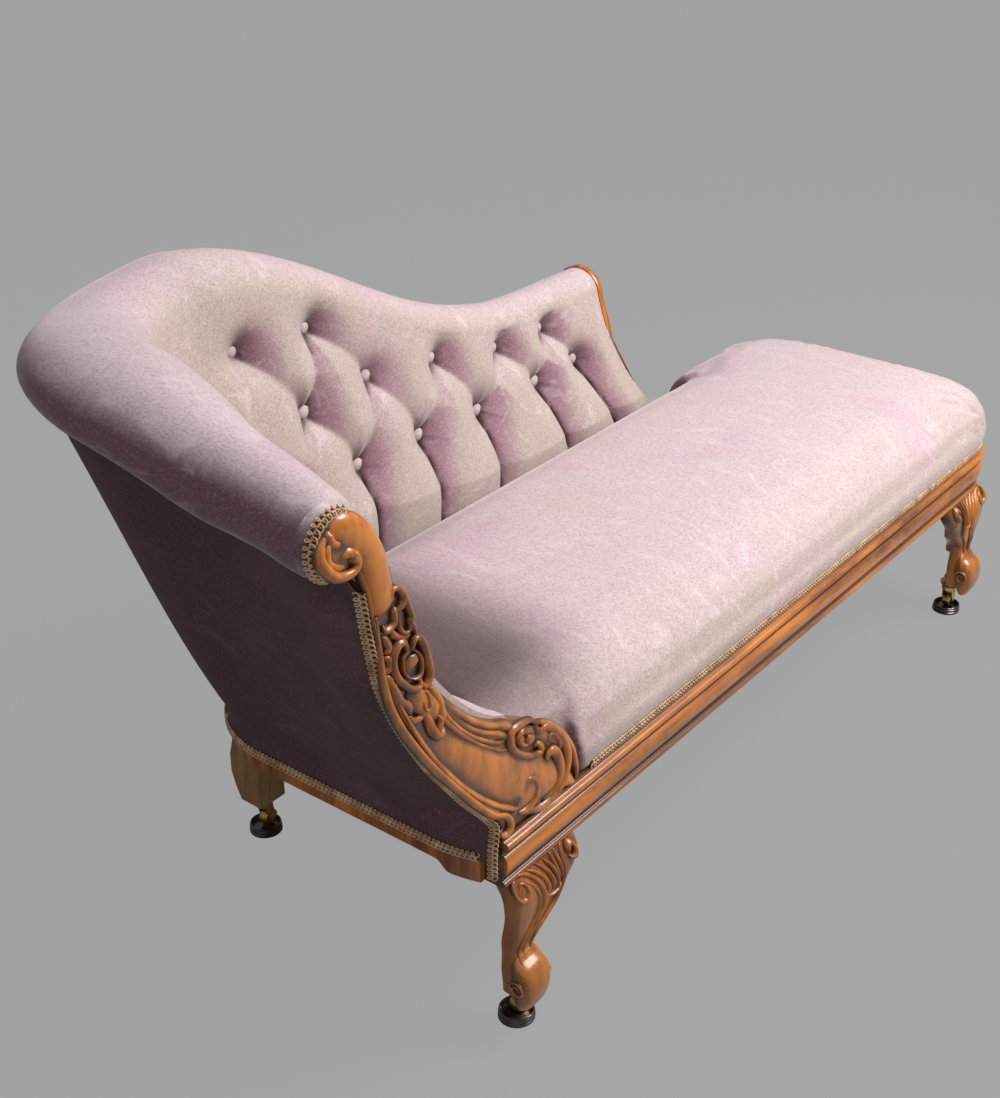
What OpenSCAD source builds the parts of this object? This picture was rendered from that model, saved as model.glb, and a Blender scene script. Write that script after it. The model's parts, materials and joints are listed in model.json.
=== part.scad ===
/* [Seat frame] */
// Length of the seat frame along the front rail
frame_len = 1485; // [1300:1:1650]
// Depth of the seat frame, front rail face to back rail face
frame_depth = 540; // [500:1:600]
// Height of the rails' underside above the floor
rail_low = 250; // [230:1:290]
// Height of the rails
rail_h = 75; // [66:1:90]
// Thickness of the rails
rail_t = 28; // [24:1:32]
// How far the head rail bows out past the front rail's end
head_out = 20; // [10:1:30]
// Length over which the head rail bows out
head_ease = 90; // [60:1:120]
// How much higher the head rail's underside is
head_rail_lift = 14; // [4:1:16]
// Radius of the frame's corner between head and back
head_corner_r = 155; // [130:1:175]
// Radius of the frame's front corner at the foot
foot_front_r = 100; // [80:1:115]
// Radius of the frame's back corner at the foot
foot_back_r = 145; // [120:1:165]
// Relief of the front rail's moulding
moulding_relief = 9; // [6:0.5:12]
// Length of the glue blocks' sides in the frame corners
block_len = 52; // [40:1:60]

/* [Head and back] */
// How far the head roll's axis stands out from the head rail
head_flare = 215; // [190:1:250]
// Height of the highest crest, at the corner of head and back
crest_z = 912; // [870:1:960]
// Radius of the scroll at the front of the head
scroll_r = 50; // [42:1:56]
// Radius of the roll at the corner of head and back
corner_roll_r = 77; // [68:1:84]
// Thickness of the outside covers
cover_t = 3; // [2:0.5:4]
// Clearance between soft pieces and their neighbours
soft_gap = 0.5; // [0.3:0.1:0.8]
// Thickness of the sawn posts inside the head and back
post_t = 24; // [18:1:30]
// Distance from the frame's foot end to the bottom of the back
back_stop = 432; // [400:1:470]
// How far the back's end leans towards the head
end_rake = 150; // [100:1:190]
// Thickness of the carved slip that closes the back's end
end_slip_t = 16; // [12:1:22]

/* [Seat] */
// Height of the seat's crown above the floor
seat_top = 446; // [425:1:475]
// How far the seat swells past the frame at the foot
seat_over = 14; // [8:1:20]
// Height of the braid along the seams
gimp_h = 11; // [8:1:14]
// Thickness of the braid
gimp_t = 3; // [2:0.5:4]

/* [Tufting] */
// Height of the lowest row of buttons
button_row_z = 543; // [530:1:555]
// Height between the rows of buttons
button_pitch_z = 92; // [84:1:100]
// Radius of a covered button
button_r = 11; // [9:0.5:13]
// Depth from the tufts' crowns to the button seats
tuft_depth = 26; // [16:1:30]

/* [Facing] */
// Thickness of the carved facing board
facing_t = 26; // [22:1:30]
// Relief of the facing's carving
carving_relief = 7; // [4:0.5:9]

/* [Legs] */
// Width of a leg at the ankle
leg_w = 50; // [44:1:58]
// Height of the leg's foot above the floor
leg_foot_z = 60; // [60:1:64]
// Distance from the front rail's head end to the castor
head_castor_x = 48; // [40:1:52]
// Distance from the foot end to the front castor
foot_castor_in = 96; // [90:1:110]
// Distance from the front rail's face to the front castors
front_castor_y = 14; // [10:1:20]
// Distance from the head end to the back castor
back_castor_x = 128; // [115:1:150]
// How far the back castors stand behind the back rail's face
back_castor_out = 15; // [5:1:25]

/* [Castors] */
// Radius of the brass wheel
wheel_r = 14; // [12:0.5:15]
// Width of the brass wheel
wheel_w = 15; // [12:0.5:16]
// Distance from the swivel axis to the axle
trail = 6; // [4:0.5:7]
// Radius of the axle
axle_r = 2.5; // [2:0.1:3]
// Radius of the swivel pin
pin_r = 4; // [3.5:0.1:4.5]
// Radial clearance of the running fits
run_fit = 0.05; // [0.02:0.01:0.08]
// Radius of the turned cup
cup_r = 25; // [24:0.5:30]
// Height of the turned cup
cup_h = 16; // [13:0.5:17]

/* [Hidden] */

rail_top = rail_low + rail_h;
overrun = rail_t;
back_end_x = frame_len - back_stop;
leg_h = rail_low - leg_foot_z;
knee_d = 62;
ear_w = 84;
leg_shift = -0.16 * leg_w;
leg_y = -0.2 * knee_d;
seat_inset = 4;

// Small helpers
function mix(a, b, share) = a + (b - a) * share;
function clamp01(v) = max(0, min(1, v));
function bezier(p, t) = pow(1 - t, 3) * p[0] + 3 * pow(1 - t, 2) * t * p[1]
    + 3 * (1 - t) * t * t * p[2] + pow(t, 3) * p[3];
function steps(a, b, n) = [for (i = [0:n]) mix(a, b, i / n)];
function reversed(v) = [for (i = [len(v) - 1:-1:0]) v[i]];
// Value at u of a table of [u, share] rows, eased between the rows
function table(rows, u, i = 0) =
    i >= len(rows) - 1 ? rows[len(rows) - 1][1]
    : u <= rows[i + 1][0]
        ? mix(rows[i][1], rows[i + 1][1],
            clamp01((u - rows[i][0]) / (rows[i + 1][0] - rows[i][0])))
        : table(rows, u, i + 1);
// The same table, smoothed by averaging over a short stretch
function smooth(rows, u, reach = 0.09) =
    (table(rows, u - reach) + 2 * table(rows, u - reach / 2) + 2 * table(rows, u)
    + 2 * table(rows, u + reach / 2) + table(rows, u + reach)) / 8;

module placed() {
    translate([-mid_x, -mid_y, 0]) children();
}
// A closed skin over rings of points that all have the same count. Its ends are flat
// or fans about two hubs
module loft(rings, hubs = []) {
    count = len(rings[0]);
    last = len(rings) - 1;
    hub = count * len(rings);
    points = concat([for (ring = rings) each ring], hubs);
    sides = [for (i = [0:last - 1], j = [0:count - 1])
        let (a = i * count + j, b = i * count + (j + 1) % count)
        each [[a, b, b + count], [a, b + count, a + count]]];
    caps = len(hubs) == 0
        ? [[for (j = [count - 1:-1:0]) j], [for (j = [0:count - 1]) last * count + j]]
        : concat([for (j = [0:count - 1]) [hub, (j + 1) % count, j]],
            [for (j = [0:count - 1]) [hub + 1, last * count + j, last * count + (j + 1) % count]]);
    polyhedron(points, concat(sides, caps));
}
// A closed skin over rings whose ends are closed by strips between two sides
module strip_loft(rings) {
    count = len(rings[0]);
    last = len(rings) - 1;
    points = [for (ring = rings) each ring];
    sides = [for (i = [0:last - 1], j = [0:count - 1])
        let (a = i * count + j, b = i * count + (j + 1) % count)
        each [[a, b, b + count], [a, b + count, a + count]]];
    first_cap = [for (j = [0:ceil(count / 2) - 2])
        let (a = j, b = j + 1, c = count - 2 - j, d = count - 1 - j)
        each (c == b ? [[d, b, a]] : [[d, c, a], [c, b, a]])];
    last_cap = [for (f = first_cap) reversed([for (k = f) k + last * count])];
    polyhedron(points, concat(sides, first_cap, last_cap));
}
// An outline in the XZ plane, given a thickness along Y from y0
module board_xz(y0, thick) {
    translate([0, y0 + thick, 0]) rotate([90, 0, 0]) linear_extrude(thick) children();
}
// An outline in the YZ plane, given a thickness along X from x0
module board_yz(x0, thick) {
    translate([x0, 0, 0]) rotate([90, 0, 90]) linear_extrude(thick) children();
}

// The wall of head and back follows a path: u from 0 to 1 along the head, 1 to 2
// round the corner and 2 to 3 along the back
corner_x = head_corner_r - head_out;
corner_y = frame_depth - head_corner_r;
wall_front_y = facing_t + soft_gap;
function head_face_x(y) = -head_out * sin(90 * clamp01(y / head_ease));
function path_point(u) =
    u < 1 ? [head_face_x(mix(wall_front_y, corner_y, u)), mix(wall_front_y, corner_y, u)]
    : u < 2 ? [corner_x - head_corner_r * cos(90 * (u - 1)),
        corner_y + head_corner_r * sin(90 * (u - 1))]
    : [mix(corner_x, back_end_x, u - 2), frame_depth];
function path_out(u) =
    u < 1 ? [-1, 0] : u < 2 ? [-cos(90 * (u - 1)), sin(90 * (u - 1))] : [0, 1];

// Tables of shares along the path
crest_share = [[0, 0.942], [0.5, 0.96], [1, 0.966], [1.4, 0.97], [1.7, 0.982], [2, 0.99],
    [2.1, 0.962], [2.2, 0.92], [2.3, 0.866], [2.4, 0.81], [2.5, 0.764], [2.6, 0.734],
    [2.7, 0.72], [2.8, 0.719], [3, 0.719]];
roll_share = [[0, 0.63], [0.5, 0.75], [0.8, 0.72], [1.1, 0.68], [1.4, 0.7], [1.7, 0.81],
    [2, 0.84], [2.3, 0.68], [2.6, 0.56], [3, 0.54]];
flare_share = [[0, 1], [0.5, 0.89], [0.8, 0.77], [1.1, 0.71], [1.4, 0.62], [1.7, 0.51],
    [2, 0.41], [2.3, 0.33], [2.6, 0.28], [3, 0.26]];
wide_share = [[0, 1], [0.5, 1.13], [0.8, 1.3], [1.1, 1.45], [1.4, 1.4], [1.7, 1.15], [2, 1.02]];
turn_degrees = [[0, 248], [0.6, 262], [1, 292], [1.5, 318], [2, 337], [2.4, 352], [3, 355]];
inset_share = [[0, 1], [1, 1], [2, 1.45], [3, 1.5]];
handle_a_share = [[0, 0.43], [1, 0.43], [2, 0.36], [3, 0.34]];
handle_b_share = [[0, 0.1], [1, 0.1], [2, 0.26], [3, 0.3]];
handle_c_share = [[0, 0.9], [1, 0.9], [2, 0.74], [3, 0.68]];
handle_d_share = [[0, 0.64], [1, 0.64], [2, 0.66], [3, 0.67]];
belly_share = [[0, 0.95], [0.4, 0.9], [1, 0.68], [1.5, 0.58], [2, 0.62], [3, 0.8]];
foot_share = 0.33;
pad_share = 0.52;

function roll_r(u) = u <= 0 ? scroll_r : corner_roll_r * smooth(roll_share, u);
function roll_wide(u) = u <= 0 ? 1 : smooth(wide_share, u);
function axis_out(u) = head_flare * smooth(flare_share, u);
function axis_z(u) = crest_z * smooth(crest_share, u) - roll_r(u);
canvas_t = 1.5;
pad_low = rail_top + canvas_t + soft_gap;

// Points of the section at u, as [distance out from the path, height]
cover_gap = soft_gap + 0.006 * head_corner_r;
function rim_point(u, degrees, gap = 0) =
    [axis_out(u) + (roll_r(u) * roll_wide(u) + gap) * cos(degrees),
        axis_z(u) + (roll_r(u) + gap) * sin(degrees)];
function inner_foot(u) = u < 1 ? path_point(u)[0] - (rail_t - head_out)
    : -rail_t * table(inset_share, u);
function inner_handles(u) = let (
        low = [inner_foot(u), mix(pad_low, axis_z(u), foot_share)],
        high = rim_point(u, 180),
        size = high - low)
    [low, low + [size[0] * smooth(handle_a_share, u), size[1] * smooth(handle_b_share, u)],
        low + [size[0] * smooth(handle_c_share, u), size[1] * smooth(handle_d_share, u)], high];
function inner_curve(u, t) = let (h = inner_handles(u))
    t < 0.3 ? [h[0][0], mix(pad_low, h[0][1], t / 0.3)] : bezier(h, (t - 0.3) / 0.7);
function outer_curve(u, t) = let (
        low = [cover_t + cover_gap, pad_low],
        high = rim_point(u, smooth(turn_degrees, u)),
        size = high - low)
    bezier([low, low + [0.37 * size[0], 0.27 * size[1]],
        low + [smooth(belly_share, u) * size[0], 0.61 * size[1]], high], t);
// A layer of the wall: share 0 is the inside face, share 1 the outside face
function wall_curve(u, t, share, shift = 0) = let (
        flat = mix(inner_curve(u, t), outer_curve(u, t), share),
        flat_end = mix(inner_curve(u, 1), outer_curve(u, 1), share),
        end = rim_point(u, mix(180, smooth(turn_degrees, u), share), 2 * soft_gap))
    flat + (end - flat_end) * pow(t, 3) + [shift * (1 - pow(t, 6)), 0];
// The back's end is cut to a rake, so that its sections lean as they near it
function rake(u, z) = end_rake * clamp01((u - 2.6) / 0.4)
    * (1 - clamp01((z - pad_low) / (axis_z(3) - pad_low)) * 1.1);
function in_space(u, p) = let (b = path_point(u), n = path_out(u))
    [b[0] + n[0] * p[0] + rake(u, p[1]) - end_rake * clamp01((u - 2.6) / 0.4) * 0.35,
        b[1] + n[1] * p[0], p[1]];

// Stations along the path. Those of the back fall on the columns of buttons and
// halfway between them
back_span = back_end_x - corner_x;
column_share = [0, 0.05, 0.122, 0.211, 0.283, 0.387, 0.442, 0.561, 0.617, 0.736, 0.769, 0.867,
    0.93, 1];
back_count = 2 * len(column_share) - 2;
head_post_u = post_t / (corner_y - wall_front_y);
head_us = [0, head_post_u, 0.135, 0.25, 0.43, 0.615, 0.79, 1 - head_post_u, 1];
corner_us = steps(1, 2, 8);
back_us = [for (i = [0:back_count])
    2 + mix(column_share[floor(i / 2)], column_share[ceil(i / 2)], 0.5)];
back_cover_us = concat([for (i = [0:back_count - 1]) if (i % 2 == 0 || i < 12) back_us[i]], [3]);
layer_ts = steps(0, 1, 8);
face_count = 13;
joint_u = soft_gap / back_span;
post_gap = 2 * soft_gap;
lining_gap = 5 * soft_gap;
arc_count = 3;
roll_sides = 16;

// The end of the pad's rear on the roll, in degrees round the roll's axis
function pad_end(u) = (smooth(turn_degrees, u) - 180) * pad_share;
function all_in_space(u, curve) = [for (p = curve) in_space(u, p)];
// A ring of the pad: its face, the hollow under the roll and its rear
function pad_ring(u, face) = all_in_space(u, concat(face,
    [for (k = [1:arc_count])
        rim_point(u, 180 + k * min(360 / roll_sides, pad_end(u) / (arc_count + 1)), 3 * soft_gap)],
    [for (t = reversed(layer_ts)) wall_curve(u, t, pad_share)]));
function plain_face(u) = [for (t = steps(0, 1, face_count)) wall_curve(u, t, 0)];
// A ring of wood between the pad and the cover, from t_low up to the roll
wood_top = 0.875;
function wood_ts(t_low) = concat([for (t = layer_ts) if (t >= t_low && t < wood_top) t], [wood_top]);
function wood_ring(u, t_low) = all_in_space(u, concat(
    t_low > 0 ? [] : [[wall_curve(u, 0, pad_share, post_gap)[0], rail_top]],
    [for (t = wood_ts(t_low)) wall_curve(u, t, pad_share, post_gap)],
    [for (s = steps(pad_share + 0.08, 0.82, 3))
        rim_point(u, mix(180, smooth(turn_degrees, u), s), 6 * soft_gap)],
    [for (t = reversed(wood_ts(t_low))) wall_curve(u, t, 1, -cover_t - lining_gap)],
    t_low > 0 ? [] : [[wall_curve(u, 0, 1, -cover_t - lining_gap)[0], rail_top]]));
cover_low = rail_low + 0.52 * rail_h;
function cover_ring(u) = all_in_space(u, concat(
    [[cover_gap, cover_low]],
    [for (t = layer_ts) wall_curve(u, t, 1, -cover_t)],
    [for (t = reversed(layer_ts)) wall_curve(u, t, 1)],
    [[cover_gap + cover_t, cover_low]]));
function roll_ring(u) = [for (i = [0:roll_sides - 1])
    in_space(u, rim_point(u, 90 - 360 * i / roll_sides))];

// Tufts: a diamond lattice of puffs, drawn in to the buttons along the pleats.
// The face's levels fall on quarters of the height between the rows of buttons
first_column = 2;
row_share = [-3, -2.2, -1.4, -0.8, -0.4, 0, 0.25, 0.5, 0.75, 1, 1.5, 2, 2.5, 3];
low_row_share = [[2, 1.004], [2.21, 1], [2.39, 0.988], [2.56, 0.957], [3, 0.955]];
mid_row_share = [[2, 1.19], [2.12, 1.208], [2.28, 1.232], [2.44, 1.195], [2.62, 1.146],
    [2.77, 1.125], [3, 1.12]];
top_row_share = 1.435;
button_margin = 0.1 * button_pitch_z;
function face_z(u, j) = let (
        row_0 = button_row_z * table(low_row_share, u),
        row_1 = min(button_row_z * table(mid_row_share, u), axis_z(u) - button_margin),
        row_2 = min(button_row_z * top_row_share, axis_z(u) - button_margin / 2),
        join = row_0 - 1.15 * button_pitch_z)
    j < 3 ? mix(pad_low, join, j / 2)
    : j < 6 ? mix(join, row_0, (j - 2) / 3)
    : j < 10 ? mix(row_0, row_1, (j - 5) / 4)
    : j < 12 ? mix(row_1, max(row_2, mix(row_1, axis_z(u), 0.4)), (j - 9) / 2)
    : mix(max(row_2, mix(row_1, axis_z(u), 0.4)), axis_z(u), (j - 11) / 2);
function t_at(u, z, low = 0, high = 1, n = 14) = let (mid = (low + high) / 2)
    n == 0 ? mid
    : wall_curve(u, mid, 0)[1] < z ? t_at(u, z, mid, high, n - 1) : t_at(u, z, low, mid, n - 1);
function puff(column, row) =
    row < 0 ? mix(pow(abs(sin(180 * column)), 0.6), 1, clamp01(-row / 1.6))
    : sqrt(abs(sin(180 * (column + row / 2)) * sin(180 * (column - row / 2))));
function tuft_fade(i, j) = clamp01(i / 2) * clamp01((back_count - i) / 2)
    * (j > 11 ? 0 : j < 7 ? 1
        : clamp01((axis_z(back_us[i]) - face_z(back_us[i], j)) / button_pitch_z));
function tufted_face(i) = let (u = back_us[i])
    [for (j = [0:face_count])
        wall_curve(u, j == face_count ? 1 : t_at(u, face_z(u, j)), 0)
        + [tuft_depth * tuft_fade(i, j) * (1 - puff((i - first_column) / 4, row_share[j])), 0]];
// Buttons as [station, level of the face]
button_spots = concat(
    [for (i = [first_column:4:back_count - 2]) [i, 5]],
    [for (i = [first_column + 2:4:back_count - 1]) [i, 9]],
    [for (i = [first_column, first_column + 4]) [i, 11]]);

// The part's origin is under the middle of its outer box
box_us = concat(steps(0.02, 1, 7), corner_us);
box_left = min([for (u = box_us, a = [0, 30, 60]) in_space(u, rim_point(u, a))[0]]);
box_back = max([for (u = concat(corner_us, back_us), a = [0, 30, 60])
    in_space(u, rim_point(u, a))[1]]);
box_right = frame_len + seat_over + 0.6 * seat_inset;
box_front = front_castor_y + leg_y - 0.542 * knee_d;
mid_x = (box_left + box_right) / 2;
mid_y = (box_front + box_back) / 2;

// Rails
// Outline of the moulded rail, out to the front being -X here
moulding_outline = [
    [rail_t, 0], [0, 0], [-0.35 * moulding_relief, 0.03 * rail_h],
    [-0.35 * moulding_relief, 0.1 * rail_h], [0.1 * moulding_relief, 0.13 * rail_h],
    [0.1 * moulding_relief, 0.2 * rail_h], [-0.1 * moulding_relief, 0.24 * rail_h],
    [-0.5 * moulding_relief, 0.3 * rail_h], [-0.75 * moulding_relief, 0.4 * rail_h],
    [-0.8 * moulding_relief, 0.5 * rail_h], [-0.6 * moulding_relief, 0.6 * rail_h],
    [-0.2 * moulding_relief, 0.66 * rail_h], [0.15 * moulding_relief, 0.68 * rail_h],
    [0.15 * moulding_relief, 0.75 * rail_h], [-0.6 * moulding_relief, 0.78 * rail_h],
    [-0.95 * moulding_relief, 0.82 * rail_h], [-moulding_relief, 0.87 * rail_h],
    [-0.8 * moulding_relief, 0.91 * rail_h], [-0.1 * moulding_relief, 0.94 * rail_h],
    [0, rail_h], [rail_t, rail_h]];
module rail_corner(r) {
    rotate_extrude(angle = 90, $fn = 96)
        polygon([for (p = moulding_outline) [r - p[0], p[1]]]);
}
module front_rail() {
    color("sienna") placed() difference() {
        translate([0, 0, rail_low]) rotate([90, 0, 90])
            linear_extrude(frame_len - foot_front_r) polygon(moulding_outline);
        dowel_holes();
    }
}
module foot_front_corner() {
    color("sienna") placed() difference() {
        translate([frame_len - foot_front_r, foot_front_r, rail_low]) rotate([0, 0, -90])
            rail_corner(foot_front_r);
        dowel_holes();
    }
}
module foot_rail() {
    color("sienna") placed()
    translate([frame_len, foot_front_r, rail_low]) rotate([90, 0, 180])
        linear_extrude(frame_depth - foot_front_r - foot_back_r) polygon(moulding_outline);
}
module foot_back_corner() {
    color("sienna") placed()
    translate([frame_len - foot_back_r, frame_depth - foot_back_r, rail_low])
        rail_corner(foot_back_r);
}
module back_rail() {
    color("peru") placed()
    difference() {
        translate([corner_x, frame_depth - rail_t, rail_low])
            cube([frame_len - foot_back_r - corner_x, rail_t, rail_h]);
        dowel_holes();
    }
}
module head_corner() {
    color("peru") placed()
    difference() {
        translate([corner_x, corner_y, rail_low + head_rail_lift]) rotate([0, 0, 90])
            rotate_extrude(angle = 90, $fn = 96) translate([head_corner_r - rail_t, 0])
                square([rail_t, rail_h - head_rail_lift]);
        dowel_holes();
    }
}
module head_rail() {
    ys = steps(0, 1, 12);
    outer = [for (s = ys) [head_face_x(mix(rail_t, head_ease, s)), mix(rail_t, head_ease, s)]];
    color("peru") placed()
    difference() {
        union() {
            translate([0, 0, rail_low + head_rail_lift])
                linear_extrude(rail_h - head_rail_lift)
                    polygon(concat(outer, [[-head_out, corner_y],
                        [rail_t - head_out, corner_y], [rail_t - head_out, rail_t]]));
            translate([0, 0, rail_low]) linear_extrude(rail_h)
                polygon(concat([for (s = steps(0, 1, 6))
                        [head_face_x(mix(rail_t, block_len, s)), mix(rail_t, block_len, s)]],
                    [[rail_t - head_out, block_len], [rail_t - head_out, rail_t]]));
        }
        dowel_holes();
    }
}
// Glue blocks in the four inner corners
module glue_block(x, y, turn) {
    translate([x, y, rail_low]) rotate([0, 0, turn])
        linear_extrude(rail_h - cover_t) polygon([[0, 0], [block_len, 0], [0, block_len]]);
}
module corner_blocks() {
    color("burlywood") placed() difference() {
        union() {
            glue_block(rail_t - head_out, rail_t, 0);
            glue_block(corner_x, frame_depth - rail_t, -90);
            glue_block(frame_len - foot_front_r, rail_t, 90);
            glue_block(frame_len - foot_back_r, frame_depth - rail_t, 180);
        }
        dowel_holes();
    }
}

// Places of the legs and castors
foot_castor_x = frame_len - foot_castor_in;
back_foot_castor_x = frame_len - foot_castor_in - (back_castor_x - head_castor_x);
front_spot = [head_castor_x, front_castor_y];
front_foot_spot = [foot_castor_x, front_castor_y];
back_spot = [back_castor_x, frame_depth + back_castor_out];
back_foot_spot = [back_foot_castor_x, frame_depth + back_castor_out];
dowel_r = 5;
dowel_len = 40;
dowel_step = 22;
function dowel_spots() = [for (x = [head_castor_x, foot_castor_x], k = [-1, 1])
        [x + k * dowel_step / 2, rail_t / 2],
    for (x = [back_castor_x, back_foot_castor_x], k = [-1, 1])
        [x + k * dowel_step / 2, frame_depth - rail_t / 2]];
module dowels(r) {
    for (p = dowel_spots()) translate([p[0], p[1], rail_low - dowel_len / 2])
        cylinder(r = r, h = dowel_len, $fn = 32);
}
module dowel_holes() {
    dowels(dowel_r);
}
module leg_dowels() {
    color("burlywood") placed() dowels(dowel_r);
}

// Cabriole legs: a side outline and a front outline, each cut through the other.
// Heights are shares of the leg's height, depths are shares of its knee depth
leg_front_share = [[-0.155, 1], [-0.284, 0.963], [-0.332, 0.905], [-0.332, 0.816], [-0.284, 0.71],
    [-0.219, 0.58], [-0.155, 0.474], [-0.09, 0.395], [-0.106, 0.337], [-0.219, 0.305],
    [-0.38, 0.274], [-0.494, 0.221], [-0.542, 0.158], [-0.526, 0.079], [-0.461, 0],
    [-0.365, -0.063], [-0.235, -0.1], [-0.123, -0.105], [-0.074, -0.074], [-0.074, 0]];
leg_back_share = [[0.474, 0], [0.474, 0.063], [0.41, 0.126], [0.313, 0.2], [0.281, 0.274],
    [0.297, 0.463], [0.216, 0.59], [0.184, 0.684], [0.2, 0.816], [0.297, 0.895], [0.426, 0.937],
    [0.426, 1]];
ear_share = [[0, 0.36], [0.09, 0.457], [0.33, 0.547], [0.57, 0.626], [0.74, 0.758], [0.86, 0.805],
    [1, 0.88], [1.02, 1]];
module leg_side_outline() {
    polygon([for (p = concat(leg_front_share, leg_back_share))
        [p[0] * knee_d, leg_foot_z + p[1] * leg_h]]);
}
module leg_front_outline() {
    polygon(concat([[-leg_w / 2, leg_foot_z - overrun], [leg_w / 2, leg_foot_z - overrun]],
        [for (p = ear_share) [leg_w / 2 + p[0] * ear_w, leg_foot_z + p[1] * leg_h]],
        [[-leg_w / 2 - 0.1 * leg_w, leg_foot_z + leg_h],
            [-leg_w / 2 - 0.1 * leg_w, leg_foot_z + 0.86 * leg_h],
            [-leg_w / 2, leg_foot_z + 0.6 * leg_h]]));
}
module toe_scroll() {
    toe_r = 0.16 * knee_d;
    translate([0, -0.3 * knee_d, leg_foot_z + 0.17 * leg_h]) rotate([0, 90, 0])
        cylinder(r = toe_r, h = leg_w + 0.12 * leg_w, center = true, $fn = 48);
}
module ear_scroll() {
    scroll = 0.19 * knee_d;
    translate([leg_w / 2 + 0.93 * ear_w, -0.2 * knee_d, rail_low - 1.6 * scroll])
        rotate([90, 0, 0]) cylinder(r = scroll, h = 0.3 * knee_d, center = true, $fn = 40);
    translate([-0.34 * leg_w, -0.24 * knee_d, rail_low - scroll - 0.03 * leg_h])
        rotate([90, 0, 0]) cylinder(r = scroll, h = 0.3 * knee_d, center = true, $fn = 40);
}
// Three reeds that fan out over the knee
module knee_reeds() {
    reed_r = 0.07 * knee_d;
    for (k = [0:2]) translate([(0.1 + 0.36 * k) * leg_w, -0.27 * knee_d,
            rail_low - (0.36 - 0.05 * k) * leg_h])
        rotate([-4, 14 + 14 * k, 0]) cylinder(r = reed_r, h = (0.33 - 0.06 * k) * leg_h, $fn = 24);
}
module front_leg() {
    difference() {
        union() {
            intersection() {
                board_yz(-leg_w, 2 * leg_w + 2 * ear_w) leg_side_outline();
                board_xz(-knee_d, 2 * knee_d) leg_front_outline();
            }
            toe_scroll();
            ear_scroll();
            knee_reeds();
        }
        translate([-leg_w, -knee_d, rail_low]) cube([2 * leg_w + ear_w, 2 * knee_d, overrun]);
        // The foot is cut in beside the castor
        for (side = [-1, 1]) translate([side * leg_w - leg_shift - leg_w / 2, -0.06 * knee_d,
                leg_foot_z - overrun])
            cube([leg_w, knee_d, overrun + 0.19 * leg_h]);
    }
}
module leg_bores(spot) {
    dowel_holes();
    translate([spot[0], spot[1], leg_foot_z - overrun + screw_len]) screw_places()
        cylinder(r = screw_r, h = overrun, $fn = 24);
    translate([spot[0], spot[1], 0])
        cylinder(r = plate_r + soft_gap, h = leg_foot_z, $fn = 64);
}
module leg_front_head() {
    color("saddlebrown") placed() difference() {
        translate([front_spot[0] + leg_shift, front_spot[1] + leg_y, 0]) front_leg();
        leg_bores(front_spot);
    }
}
module leg_front_foot() {
    color("saddlebrown") placed() difference() {
        translate([front_foot_spot[0] - leg_shift, front_foot_spot[1] + leg_y, 0])
            mirror([1, 0, 0]) front_leg();
        leg_bores(front_foot_spot);
    }
}
// The back legs are plain sawn, swept backwards with a rounded heel
back_leg_share = [[-0.52, 1], [-0.5, 0.8], [-0.4, 0.5], [-0.3, 0.2], [-0.3, 0], [0.3, 0],
    [0.44, 0.1], [0.56, 0.24], [0.56, 0.4], [0.44, 0.56], [0.3, 0.7], [0.2, 0.85], [0.2, 1]];
module back_leg() {
    board_yz(-leg_w / 2, leg_w) polygon([for (p = back_leg_share)
        [p[0] * 1.1 * knee_d, leg_foot_z + p[1] * leg_h]]);
}
module leg_back_head() {
    color("tan") placed() difference() {
        translate([back_spot[0], back_spot[1], 0]) back_leg();
        leg_bores(back_spot);
    }
}
module leg_back_foot() {
    color("tan") placed() difference() {
        translate([back_foot_spot[0], back_foot_spot[1], 0]) back_leg();
        leg_bores(back_foot_spot);
    }
}

// The carved facing at the front of the head: an S between an outer and an inner edge,
// from the scroll at the top to the volute that stands on the rail
facing_face_x = head_face_x(wall_front_y);
scroll_centre = [facing_face_x - axis_out(0), axis_z(0)];
volute_r = 66;
volute_centre = [1.36 * volute_r, rail_top + volute_r];
function facing_edge(curve) = [for (p = curve) [facing_face_x - p[0], p[1]]];
facing_outer = facing_edge([for (t = steps(0, 1, 18)) outer_curve(0, t)]);
facing_inner = facing_edge([for (t = steps(0.3, 1, 16)) inner_curve(0, t)]);
facing_brow = [facing_inner[0], volute_centre + [-0.55, 1.42] * volute_r,
    volute_centre + [0.72, 0.75] * volute_r, volute_centre + [0.96, -0.9] * volute_r];
module facing_outline() {
    polygon(concat([volute_centre + [0.96, -1] * volute_r, [-0.1 * volute_r, rail_top]],
        [for (i = [0:17]) facing_outer[i]], [scroll_centre],
        [for (i = [15:-1:0]) facing_inner[i]],
        [for (t = steps(0.1, 1, 12)) bezier(facing_brow, t)]));
}
module scroll_facing() {
    color("chocolate") placed() {
        board_xz(0, facing_t) facing_outline();
        board_xz(0, facing_t) translate(scroll_centre) circle(r = scroll_r, $fn = 72);
    }
}
// Raised carving: volutes at both ends, moulded edges, and a cartouche between them
function spiral(r, turns, from_deg, wide, inner) = [for (i = [0:20 * turns])
    let (a = from_deg + 18 * i, q = r * (1 - 0.8 * i / (20 * turns)),
        w = wide * (1 - 0.45 * i / (20 * turns)))
    (inner ? q - w : q) * [cos(a), sin(a)]];
module volute(r, turns, from_deg, wide) {
    polygon(concat(spiral(r, turns, from_deg, wide, false),
        reversed(spiral(r, turns, from_deg, wide, true))));
}
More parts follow.
